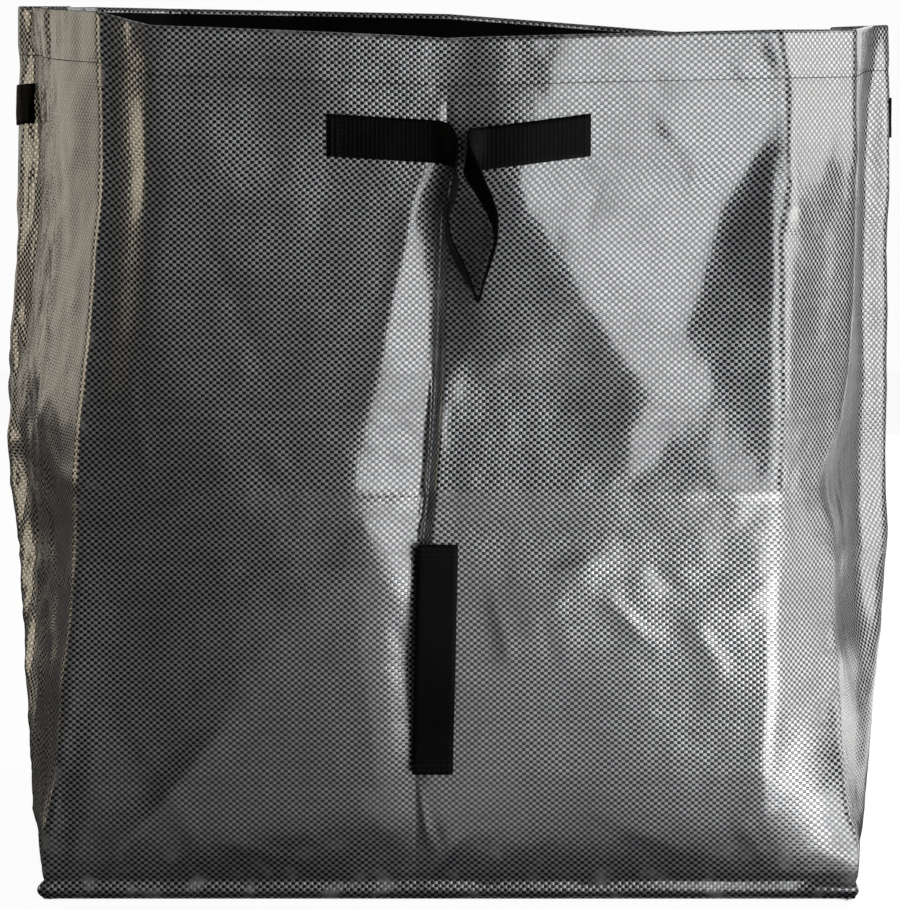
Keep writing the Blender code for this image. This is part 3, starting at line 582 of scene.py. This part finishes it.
# a cell is where two tapes cross, in turn a grey and a black one on top
weave = {
    "cellAcross": 0.00230,
    "cellUp": 0.00196,
    "waver": 0.6,  # how far the tapes waver, in cells
    "waverScale": 60.0,
    "blackPower": 4.0,  # more gives squarer black cells
    "blackRange": (1.3, 1.0),
    # painted shade on a grey cell's borders, where its tape dives under the black ones
    "diveShadeAcross": (5.0, 0.55),  # power and strength
    "diveShadeUp": (6.0, 0.35),
    "diveShadeLimit": 0.9,
    "toneScale": 14.0,
    "toneShare": 1.2,
    "toneFrom": -0.3,
    "tapeShare": 0.35,  # how much the tapes differ from each other
    "lowGrey": (0.30, 0.302, 0.306, 1),
    "highGrey": (0.47, 0.473, 0.478, 1),
    "black": (0.002, 0.002, 0.0022, 1),
    "scuff": (0.42, 0.42, 0.40, 1),
    "scuffShare": 0.6,
    "patchScale": 45.0,
    "patchRange": (0.54, 0.68),
    "roughness": 0.51,
    "blackSmoother": 0.15,
    "metallic": 0.88,
    "bump": 0.00008,
    "shader": {
        "Specular IOR Level": 0.05,
        "Coat Weight": 1.0,
        "Coat IOR": 1.88,
        "Coat Roughness": 0.13,
    },
}


def wovenMaterial():
    material, tree, shader = newMaterial("wovenCloth", weave["shader"])
    place, x, y = clothPlace(tree)
    waver = clothNoise(tree, place, weave["waverScale"], 1.0)
    shift = mathNode(tree, "MULTIPLY_ADD", waver, weave["waver"], -weave["waver"] / 2)
    across = mathNode(tree, "MULTIPLY_ADD", x, 1 / weave["cellAcross"], shift)
    upward = mathNode(tree, "MULTIPLY_ADD", y, 1 / weave["cellUp"], shift)
    tapeNumber = mathNode(tree, "FLOOR", upward)
    blackCell = mathNode(tree, "FLOORED_MODULO",
                         mathNode(tree, "ADD", mathNode(tree, "FLOOR", across), tapeNumber), 2.0)
    xCell, yCell = fromMiddle(tree, across), fromMiddle(tree, upward)
    reach = mathNode(tree, "ADD", mathNode(tree, "POWER", xCell, weave["blackPower"]),
                     mathNode(tree, "POWER", yCell, weave["blackPower"]))
    dark = mathNode(tree, "MULTIPLY", blackCell, smoothRange(tree, reach, *weave["blackRange"]))
    # painted shade: a grey cell is mixed towards black at its borders, where its tape dives under its
    # neighbours and lies in shade
    power, strength = weave["diveShadeUp"]
    diveShadeUp = mathNode(tree, "MULTIPLY", mathNode(tree, "POWER", yCell, power), strength)
    power, strength = weave["diveShadeAcross"]
    diveShade = mathNode(tree, "MULTIPLY_ADD", mathNode(tree, "POWER", xCell, power), strength, diveShadeUp)
    # shade holds the black cells and the painted shade on the grey cells' borders
    shade = mathNode(tree, "MAXIMUM", dark, mathNode(tree, "MINIMUM", diveShade, weave["diveShadeLimit"]))
    tape = tree.nodes.new("ShaderNodeTexWhiteNoise")
    tape.noise_dimensions = "1D"
    fill(tree, tape, {"W": tapeNumber})
    tone = clothNoise(tree, place, weave["toneScale"], 4.0)
    tone = mathNode(tree, "MULTIPLY_ADD", tone, weave["toneShare"], weave["toneFrom"])
    tone = mathNode(tree, "MULTIPLY_ADD", tape.outputs["Value"], weave["tapeShare"], tone)
    grey = mixColour(tree, tone, weave["lowGrey"], weave["highGrey"])
    # pale scuffs in patches, where the cloth is rubbed
    wear = tree.nodes.new("ShaderNodeAttribute")
    wear.attribute_name = "wear"
    patch = smoothRange(tree, clothNoise(tree, place, weave["patchScale"], 5.0), *weave["patchRange"])
    rubbed = mathNode(tree, "MULTIPLY", mathNode(tree, "MULTIPLY", patch, weave["scuffShare"]),
                      wear.outputs["Fac"])
    # a grey tape runs across and arches sideways, a black one runs upwards and arches up and down
    arch = tree.nodes.new("ShaderNodeMix")
    arch.data_type = "FLOAT"
    fill(tree, arch, {
        0: blackCell,
        2: mathNode(tree, "SUBTRACT", 1.0, mathNode(tree, "POWER", xCell, 2.0)),
        3: mathNode(tree, "SUBTRACT", 1.0, mathNode(tree, "POWER", yCell, 2.0)),
    })
    normal = bumpNormal(tree, arch.outputs[0], 1.0, weave["bump"])
    fill(tree, shader, {
        "Base Color": mixColour(tree, rubbed, mixColour(tree, shade, grey, weave["black"]), weave["scuff"]),
        "Roughness": mathNode(tree, "MULTIPLY_ADD", dark, -weave["blackSmoother"], weave["roughness"]),
        "Metallic": mathNode(tree, "MULTIPLY_ADD", dark, -weave["metallic"], weave["metallic"]),
        "Normal": normal,
        "Coat Normal": normal,
    })
    return material


webbingRibs = {
    "across": 0.0027,
    "along": 0.0011,
    "alongShare": 0.5,
    "strength": 0.8,
    "depth": 0.00015,
}


def webbingMaterial():
    material, tree, shader = newMaterial("blackWebbing", {
        "Base Color": (0.0014, 0.0016, 0.0015, 1),
        "Roughness": 0.40,
        "Specular IOR Level": 0.05,
    })
    _, x, y = clothPlace(tree)
    ribs = mathNode(tree, "SINE", mathNode(tree, "MULTIPLY", x, 2 * math.pi / webbingRibs["across"]))
    rows = mathNode(tree, "SINE", mathNode(tree, "MULTIPLY", y, 2 * math.pi / webbingRibs["along"]))
    ribs = mathNode(tree, "POWER", mathNode(tree, "MAXIMUM", ribs, 0.0), 2.0)
    height = mathNode(tree, "MULTIPLY_ADD", rows, webbingRibs["alongShare"], ribs)
    fill(tree, shader, {"Normal": bumpNormal(tree, height, webbingRibs["strength"], webbingRibs["depth"])})
    return material


cloth = wovenMaterial()
webbing = webbingMaterial()
print("materials made")

wallRows = {
    "count": 150,
    "lowest": 0.0009,
    "crownRise": 0.0005,
    "hemCount": 8,
}
wallRings = []
wallClimbs = []
for i in range(wallRows["count"] + 1):
    z = wallRows["lowest"] + (bag["height"] - wallRows["lowest"]) * i / wallRows["count"]
    wallRings.append(ringAt(z / bag["height"]))
    wallClimbs.append(z)
crownRing = ringAt(1.0, bag["hemInset"] / 2)
for point in crownRing:
    point.z += wallRows["crownRise"]
wallRings.append(crownRing)
wallClimbs.append(bag["height"] + 0.001)
for i in range(wallRows["hemCount"] + 1):
    depth = bag["hemDepth"] * i / wallRows["hemCount"]
    wallRings.append(ringAt(1.0 - depth / bag["height"], bag["hemInset"]))
    wallClimbs.append(bag["height"] + 0.002 + depth)
wall = newPiece("wovenWall", tubeMesh(wallRings, wallClimbs), cloth)
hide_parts("bag_wall")
print("wall made")

welt = {
    "profile": [(0.0120, 0.0001), (0.0100, 0.0003), (0.0080, 0.0008), (0.0058, 0.0011), (0.0036, 0.0008),
                (0.0018, -0.0002), (0.0006, -0.0018), (0.0, -0.0050)],  # height, and how far out
    # x, y, direction, size and spread of each ear
    "ears": [(-0.2546, -0.249, (-0.9, -0.5), 0.0030, 0.009), (0.250, -0.252, (0.2, -0.9), 0.0036, 0.028)],
    "waveScale": 22,
    "waveOut": 0.0007,
    "waveUp": 0.0009,
    "capInset": 0.004,
}
weltTop = welt["profile"][0][0]


def footRing(z, outset):
    # the seam that joins wall and base is turned out as a soft roll, with an ear at both front corners
    points = []
    for point in ringAt(z / bag["height"], -outset):
        local = point - middle
        wave = noise.noise(Vector((local.x * welt["waveScale"], local.y * welt["waveScale"], 9.0)))
        shift = Vector((local.x, local.y, 0)).normalized() * welt["waveOut"] * wave
        shift.z = welt["waveUp"] * wave * easeStep(z, 0.001, 0.006)
        for x, y, way, size, spread in welt["ears"]:
            away = math.hypot(local.x - x, local.y - y)
            if away < spread:
                full = (1 - (away / spread) ** 2) * math.sin(math.pi * min(1.0, z / weltTop)) ** 0.7
                shift += Vector((way[0], way[1], 0.35)) * size * full
        points.append(point + shift)
    return points


footRings = [footRing(z, outset) for z, outset in welt["profile"]]
footClimbs = [weltTop]
for (z, outset), (lower, inner) in zip(welt["profile"], welt["profile"][1:]):
    footClimbs.append(footClimbs[-1] - math.hypot(z - lower, outset - inner))
footShape = tubeMesh(footRings, footClimbs)
footMap = footShape.loops.layers.uv["cloth"]
footEdges = [edge for edge in footShape.edges if edge.is_boundary and edge.verts[0].co.z < 0.001
             and edge.verts[1].co.z < 0.001]
under = bmesh.ops.contextual_create(footShape, geom=footEdges)["faces"]
# a narrow ring keeps the flat underside out of the welt's smooth shading
inset = bmesh.ops.inset_region(footShape, faces=under, thickness=welt["capInset"], use_boundary=True)
wearLayer = footShape.verts.layers.float["wear"]
for vertex in under[0].verts:
    vertex[wearLayer] = 0.0
for face in under + inset["faces"]:
    for loop in face.loops:
        loop[footMap].uv = (loop.vert.co.x, loop.vert.co.y)
bmesh.ops.recalc_face_normals(footShape, faces=list(footShape.faces))
base = newPiece("sewnBase", footShape, cloth)
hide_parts("base_panel")

rimWebbing = {
    "drop": 0.003,  # from the rim to the band's upper edge
    "inset": 0.0028,
    "rows": 8,
}
bandRings = []
bandClimbs = []
for i in range(rimWebbing["rows"] + 1):
    depth = bag["hemDepth"] + (rimWebbing["drop"] - bag["hemDepth"]) * i / rimWebbing["rows"]
    bandRings.append(ringAt(1.0 - depth / bag["height"], rimWebbing["inset"]))
    bandClimbs.append(-depth)
band = newPiece("rimBand", tubeMesh(bandRings, bandClimbs), webbing)
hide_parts("rim_band")
print("base and band made")

handle = {
    "width": 0.026,
    "thickness": 0.0012,
    "line": 0.477,
    "lift": 0.0009,
    "leftEnd": 0.066,
    "rightEnd": 0.065,
    "endRise": 0.004,
    "endSteps": 26,
    "endBlend": 8,  # steps over which a sewn end comes off the wall
    "loopOut": 14.6,  # how far the hanging loop stands off, in mm
    "loopParts": 4,
    "across": 10,
}
# hanging loop: its middle (along, out, up in mm), then the direction of the strap's width
handleLoop = [
    (-8, 1.0, 0, 0, 0, 1), (-3, 3.5, -0.5, 0.03, 0.17, 0.98), (1, 7.2, -2.5, 0.12, 0.45, 0.88),
    (3.8, 10.8, -6.5, 0.12, 0.72, 0.68), (5, 13.2, -12.5, 0.05, 0.90, 0.43),
    (5, 14.4, -19.5, -0.07, 0.97, 0.20), (4.2, 14.6, -27, -0.13, 0.99, 0.05),
    (2.6, 14.6, -35, -0.12, 0.99, 0), (0.6, 14.6, -43, -0.04, 1, 0), (0, 14.6, -50, 0.04, 1, 0),
    (0.8, 14.6, -58, 0.12, 0.99, 0), (4.3, 14.6, -67, 0.20, 0.98, 0), (9, 14.6, -77, 0.20, 0.98, 0),
    (14, 14.6, -87.5, 0.12, 0.99, 0), (16.6, 14.6, -93.4, 0.03, 1, 0), (18, 14.6, -95.2, 0, 1, 0),
    (19.4, 14.6, -93.4, 0, 1, 0), (20.9, 14.6, -87, 0, 1, 0), (24.5, 14.6, -75, 0.02, 1, 0),
    (28.3, 14.6, -62, 0.03, 1, 0), (28.6, 14.6, -52, 0.10, 0.99, 0), (26.5, 14.6, -42, 0.25, 0.97, 0),
    (22.5, 14.6, -33, 0.33, 0.94, 0.03), (18.5, 14.4, -25, 0.33, 0.93, 0.12),
    (15.2, 14, -18, 0.30, 0.90, 0.30), (12.6, 13, -12.4, 0.22, 0.85, 0.48),
    (11.6, 11.6, -8.6, 0.10, 0.77, 0.64), (12.2, 9.4, -6, 0, 0.60, 0.80),
    (14.2, 6.4, -4.8, -0.10, 0.36, 0.93), (17.6, 3.4, -4.2, -0.05, 0.13, 0.99), (22, 1.2, -4, 0, 0, 1),
]
# each side: its quarter turn, how much higher it sits, how far its loop stands off, its lean in degrees
handleSides = [("front", 0, 0.0, 1.0, 0), ("right", 1, 0.002, 0.66, 42), ("back", 2, 0.002, 1.0, 0),
               ("left", 3, 0.012, 0.66, 42)]

wallShape = bmesh.new()
wallShape.from_mesh(wall.data)
wallSurface = BVHTree.FromBMesh(wallShape)
wallShape.free()


def sideAxes(quarter):
    angle = quarter * math.pi / 2
    return Vector((math.cos(angle), math.sin(angle), 0)), Vector((math.sin(angle), -math.cos(angle), 0))


def reachAt(quarter, along, z):
    # how far out the wall lies on one side
    alongAxis, outAxis = sideAxes(quarter)
    spot = middle + alongAxis * along + Vector((0, 0, z))
    hit = wallSurface.ray_cast(spot + outAxis, -outAxis)[0]
    return (hit - middle).dot(outAxis) if hit is not None else 0.0


def widestReach(quarter, along, z, halfUp):
    best = 0.0
    for i in (-1, 0, 1):
        for j in (-1, -0.5, 0, 0.5, 1):
            best = max(best, reachAt(quarter, along + 0.004 * i, z + halfUp * j))
    return best


def blendStations(stations, parts):
    # a smooth curve through the stations, in so many parts between two of them
    finer = []
    for i in range(len(stations) - 1):
        p0 = stations[max(0, i - 1)]
        p1, p2 = stations[i], stations[i + 1]
        p3 = stations[min(len(stations) - 1, i + 2)]
        for k in range(parts):
            f = k / parts
            values = []
            for a, b, c, d in zip(p0, p1, p2, p3):
                values.append(0.5 * (2 * b + (c - a) * f + (2 * a - 5 * b + 4 * c - d) * f * f
                                     + (3 * b - a - 3 * c + d) * f ** 3))
            finer.append(tuple(values))
    finer.append(tuple(stations[-1]))
    return finer


def strapMesh(name, rows, thickness):
    # rows: points across the strap at each station; the map runs along it and across it
    shape = bmesh.new()
    strapMap = shape.loops.layers.uv.new("cloth")
    across = len(rows[0]) - 1
    bmesh.ops.create_grid(shape, x_segments=across, y_segments=len(rows) - 1, size=1.0)
    shape.verts.ensure_lookup_table()
    lengths = [0.0]
    for before, after in zip(rows, rows[1:]):
        lengths.append(lengths[-1] + (after[across // 2] - before[across // 2]).length)
    width = (rows[0][-1] - rows[0][0]).length
    for r, row in enumerate(rows):
        for c, point in enumerate(row):
            shape.verts[r * (across + 1) + c].co = point
    shape.verts.index_update()
    for face in shape.faces:
        for loop in face.loops:
            r, c = divmod(loop.vert.index, across + 1)
            loop[strapMap].uv = (lengths[r], width * c / across)
    piece = newPiece(name, shape, webbing)
    solid = piece.modifiers.new("thickness", "SOLIDIFY")
    solid.thickness = thickness
    solid.offset = 0
    return piece


def handleStations(stand, lean):
    # the loop's values between the two sewn ends, and 1 where the strap is sewn on
    count = handle["endSteps"]
    rise = handle["endRise"] / mm
    first, last = handleLoop[0], handleLoop[-1]
    stations = []
    for i in range(count, 0, -1):
        stations.append((first[0] - handle["leftEnd"] / mm * i / count, 0, rise * i / count, 0, 0, 1, 1))
    for a, o, u, wa, wo, wu in blendStations(handleLoop, handle["loopParts"]):
        share = min(1.0, o / handle["loopOut"])
        turn = share * math.radians(lean)
        turned = (wa * math.cos(turn) + wo * math.sin(turn), wo * math.cos(turn) - wa * math.sin(turn))
        stations.append((a, o * (stand + (1 - stand) * (1 - share)), u, *turned, wu, 0))
    for i in range(1, count + 1):
        stations.append((last[0] + handle["rightEnd"] / mm * i / count, 0, last[2] + rise * i / count * 2,
                         0, 0, 1, 1))
    return stations


def handleRows(quarter, rise, stand, lean):
    alongAxis, outAxis = sideAxes(quarter)
    half = handle["width"] / 2
    line = handle["line"] + rise
    stations = handleStations(stand, lean)
    reaches = []
    for a, o, u, wa, wo, wu, hug in stations:
        upShare = abs(wu) / math.sqrt(wa * wa + wo * wo + wu * wu)
        reaches.append(widestReach(quarter, a * mm, line + u * mm, half * upShare + 0.002))
    rows = []
    count = len(stations)
    for i, (a, o, u, wa, wo, wu, hug) in enumerate(stations):
        direction = (alongAxis * wa + outAxis * wo + Vector((0, 0, wu))).normalized()
        nearby = reaches[max(0, i - 4):i + 5]
        reach = sum(nearby) / len(nearby)
        ends = (handle["endSteps"], count - 1 - handle["endSteps"])
        fromLoop = min(abs(i - end) for end in ends) if hug else 0
        close = min(1.0, fromLoop / handle["endBlend"])
        row = []
        for c in range(handle["across"] + 1):
            f = c / handle["across"] - 0.5
            place = alongAxis * a * mm + Vector((0, 0, line + u * mm)) + direction * handle["width"] * f
            if hug:
                own = reachAt(quarter, place.dot(alongAxis), place.z)
                out = own * close + reach * (1 - close) + handle["lift"]
                out = max(out, own + handle["lift"])
            else:
                out = reach + o * mm + place.dot(outAxis)
            place = place - outAxis * place.dot(outAxis) + outAxis * out
            row.append(place + middle)
        rows.append(row)
    return rows


strapRows = {}
for side, quarter, rise, stand, lean in handleSides:
    strapRows[side] = handleRows(quarter, rise, stand, lean)
    strap = strapMesh(side + "Handle", strapRows[side], handle["thickness"])
    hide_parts(side + "_handle")

grip = {
    "length": 0.147,
    "foot": 0.083,
    "sewnEnd": 0.024,
    "bow": 0.005,
    "width": 0.0255,
    "leanFrom": -0.0098,
    "lean": 0.0034,
    "rows": 74,
    "across": 8,
}


def gripRows():
    alongAxis, outAxis = sideAxes(0)
    across = grip["across"]
    places = []
    for i in range(grip["rows"] + 1):
        f = i / grip["rows"]
        places.append((grip["leanFrom"] + grip["lean"] * f, grip["foot"] + grip["length"] * f))
    reaches = []
    for at, z in places:
        reaches.append(max(reachAt(0, at + grip["width"] * (c / across - 0.5), z) for c in range(across + 1)))
    rows = []
    for i, (at, z) in enumerate(places):
        free = (z - grip["foot"] - grip["sewnEnd"]) / (grip["length"] - 2 * grip["sewnEnd"])
        bow = grip["bow"] * math.sin(math.pi * min(1.0, max(0.0, free))) ** 1.2
        nearby = reaches[max(0, i - 6):i + 7]
        out = max(sum(nearby) / len(nearby), reaches[i]) + handle["lift"] + bow
        row = []
        for c in range(across + 1):
            x = at + grip["width"] * (c / across - 0.5)
            row.append(middle + alongAxis * x + outAxis * out + Vector((0, 0, z)))
        rows.append(row)
    return rows


strapRows["grip"] = gripRows()
gripStrap = strapMesh("tippingGrip", strapRows["grip"], handle["thickness"])
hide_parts("tipping_grip")
print("straps made")

stitch = {
    "hemPitch": 0.0036,
    "hemLength": 0.0029,
    "hemLift": 0.0001,
    "hemAbove": 0.0004,  # above the lower edge of the hem
    "strapPitch": 0.0031,
    "strapLength": 0.0022,
    "strapLines": (0.45, 1.0),  # shares of the way from the strap's end to its fourth row
    "radius": 0.00028,
    "sides": 6,
    "profile": ((0.0, 0.35), (0.12, 1.0), (0.88, 1.0), (1.0, 0.35)),  # place along it, share of the radius
}
thread = newMaterial("darkThread", {
    "Base Color": (0.006, 0.006, 0.0065, 1),
    "Roughness": 0.55,
    "Specular IOR Level": 0.2,
})[0]


def alongLine(points, place):
    total = 0.0
    for a, b in zip(points, points[1:]):
        span = (b - a).length
        if total + span >= place:
            return a.lerp(b, (place - total) / span if span > 0 else 0.0)
        total += span
    return points[-1].copy()


def addStitches(shape, points, pitch, length):
    sides = stitch["sides"]
    total = sum((b - a).length for a, b in zip(points, points[1:]))
    for i in range(int(total / pitch)):
        start = alongLine(points, i * pitch)
        end = alongLine(points, i * pitch + length)
        way = (end - start).normalized()
        side = way.cross(Vector((0.02, 0.03, 1)) if abs(way.z) < 0.7 else Vector((1, 0.05, 0))).normalized()
        other = way.cross(side)
        rings = []
        for f, share in stitch["profile"]:
            centre = start.lerp(end, f)
            ring = []
            for k in range(sides):
                angle = k * 2 * math.pi / sides
                outward = side * math.cos(angle) + other * math.sin(angle)
                ring.append(shape.verts.new(centre + outward * stitch["radius"] * share))
            rings.append(ring)
        for low, high in zip(rings, rings[1:]):
            for k in range(sides):
                following = (k + 1) % sides
                shape.faces.new((low[k], low[following], high[following], high[k]))
        shape.faces.new(rings[0][::-1])
        shape.faces.new(rings[-1])


hemShape = bmesh.new()
hemLine = ringAt(1 - (bag["hemDepth"] - stitch["hemAbove"]) / bag["height"], -stitch["hemLift"])
addStitches(hemShape, hemLine + hemLine[:1], stitch["hemPitch"], stitch["hemLength"])
bmesh.ops.recalc_face_normals(hemShape, faces=list(hemShape.faces))
newPiece("hemStitches", hemShape, thread)

endShape = bmesh.new()
for rows in strapRows.values():
    for near, far in ((rows[0], rows[3]), (rows[-1], rows[-4])):
        outward = (near[-1] - near[0]).cross(far[0] - near[0]).normalized()
        if outward.dot(near[len(near) // 2] - middle - Vector((0, 0, near[0].z))) < 0:
            outward = -outward
        for share in stitch["strapLines"]:
            line = [a.lerp(b, share) + outward * (handle["thickness"] / 2 + stitch["radius"] * 0.3)
                    for a, b in zip(near, far)]
            addStitches(endShape, line, stitch["strapPitch"], stitch["strapLength"])
bmesh.ops.recalc_face_normals(endShape, faces=list(endShape.faces))
newPiece("strapStitches", endShape, thread)
print("stitches made")

view = {
    "place": (0.0012, -2.850, 0.601),
    "tilt": 7,  # degrees below level
    "lens": 167.1,
}
camera = bpy.data.cameras.new("camera")
camera.sensor_width = 36
camera.lens = view["lens"]
camera.clip_end = 50
cameraObject = bpy.data.objects.new("camera", camera)
cameraObject.location = Vector(view["place"]) + middle
cameraObject.rotation_euler = (math.radians(90 - view["tilt"]), 0, 0)
bpy.context.scene.collection.objects.link(cameraObject)
bpy.context.scene.camera = cameraObject

floorShape = bmesh.new()
bmesh.ops.create_grid(floorShape, x_segments=1, y_segments=1, size=3.0)
floorMesh = bpy.data.meshes.new("floor")
floorShape.to_mesh(floorMesh)
floorShape.free()
floorMesh.materials.append(newMaterial("paleFloor", {
    "Base Color": (0.12, 0.12, 0.12, 1),
    "Roughness": 0.6,
    "Emission Color": (1, 1, 1, 1),
    "Emission Strength": 0.93,
})[0])
floor = bpy.data.objects.new("floor", floorMesh)
bpy.context.scene.collection.objects.link(floor)
# the cloth doesn't mirror the floor, so that the dark tapes stay dark
floor.visible_glossy = False
floor.visible_diffuse = False


def areaLight(name, place, target, size, power, colour):
    lamp = bpy.data.lights.new(name, "AREA")
    lamp.shape = "RECTANGLE"
    lamp.size, lamp.size_y = size
    lamp.energy = power
    lamp.color = colour
    holder = bpy.data.objects.new(name, lamp)
    holder.location = place
    holder.visible_camera = False
    holder.rotation_euler = (Vector(target) - Vector(place)).to_track_quat("-Z", "Y").to_euler()
    bpy.context.scene.collection.objects.link(holder)


# boxes stand round the bag and aim at it, cards lie on the floor and face up
areaLight("keyBox", (0.93, -2.0, 0.83), (0, 0, 0.35), (1.32, 1.6), 19.5, (0.97, 0.985, 1.0))
areaLight("floorCard", (0.76, -0.925, 0.01), (0.76, -0.925, 1.0), (1.08, 1.15), 10, (0.98, 0.99, 1.0))
areaLight("flankCard", (0.40, -0.57, 0.014), (0.40, -0.57, 1.0), (0.36, 0.36), 1.9, (0.98, 0.99, 1.0))
areaLight("leftCard", (-0.10, -0.75, 0.008), (-0.10, -0.75, 1.0), (0.3, 0.9), 0.16, (1.0, 0.99, 0.97))
areaLight("dimCard", (0.75, -1.05, 0.006), (0.75, -1.05, 1.0), (1.6, 1.5), 2.4, (0.98, 0.99, 1.0))
areaLight("sideCard", (1.05, 0.15, 0.01), (1.05, 0.15, 1.0), (1.2, 1.3), 7.5, (1.0, 1.0, 0.98))
areaLight("leftBox", (-2.3, -0.3, 0.8), (0, 0, 0.3), (1.0, 1.4), 11.5, (1.0, 0.87, 0.66))
areaLight("warmBox", (-2.0, 1.9, 0.9), (0, 0, 0.3), (1.8, 1.6), 6.8, (1.0, 0.90, 0.74))
areaLight("rightBox", (2.3, -0.1, 0.8), (0, 0, 0.3), (1.3, 1.6), 21, (1.0, 1.0, 0.98))
areaLight("rightBack", (1.7, 2.2, 0.9), (0, 0, 0.3), (1.6, 1.6), 0.8, (1.0, 1.0, 0.98))
areaLight("backStrip", (0.78, 2.1, 0.6), (0.25, 0, 0.3), (0.9, 1.4), 5, (1.0, 1.0, 0.99))
areaLight("overhead", (0.0, 1.2, 2.2), (0, 0.2, 0), (2.4, 1.2), 10, (1.0, 1.0, 1.0))

bpy.context.scene.view_settings.view_transform = "Standard"
world = bpy.data.worlds.new("studio")
world.use_nodes = True
worldTree = world.node_tree
background = worldTree.nodes["Background"]
fill(worldTree, background, {"Color": (0.8, 0.85, 1.0, 1), "Strength": 0.03})
# only the camera sees the paper white
paper = worldTree.nodes.new("ShaderNodeBackground")
fill(worldTree, paper, {"Color": (0.97, 0.97, 0.97, 1), "Strength": 1.0})
sight = worldTree.nodes.new("ShaderNodeLightPath")
either = worldTree.nodes.new("ShaderNodeMixShader")
fill(worldTree, either, {0: sight.outputs["Is Camera Ray"], 1: background.outputs[0], 2: paper.outputs[0]})
fill(worldTree, worldTree.nodes["World Output"], {"Surface": either.outputs[0]})
bpy.context.scene.world = world
print("stage set")
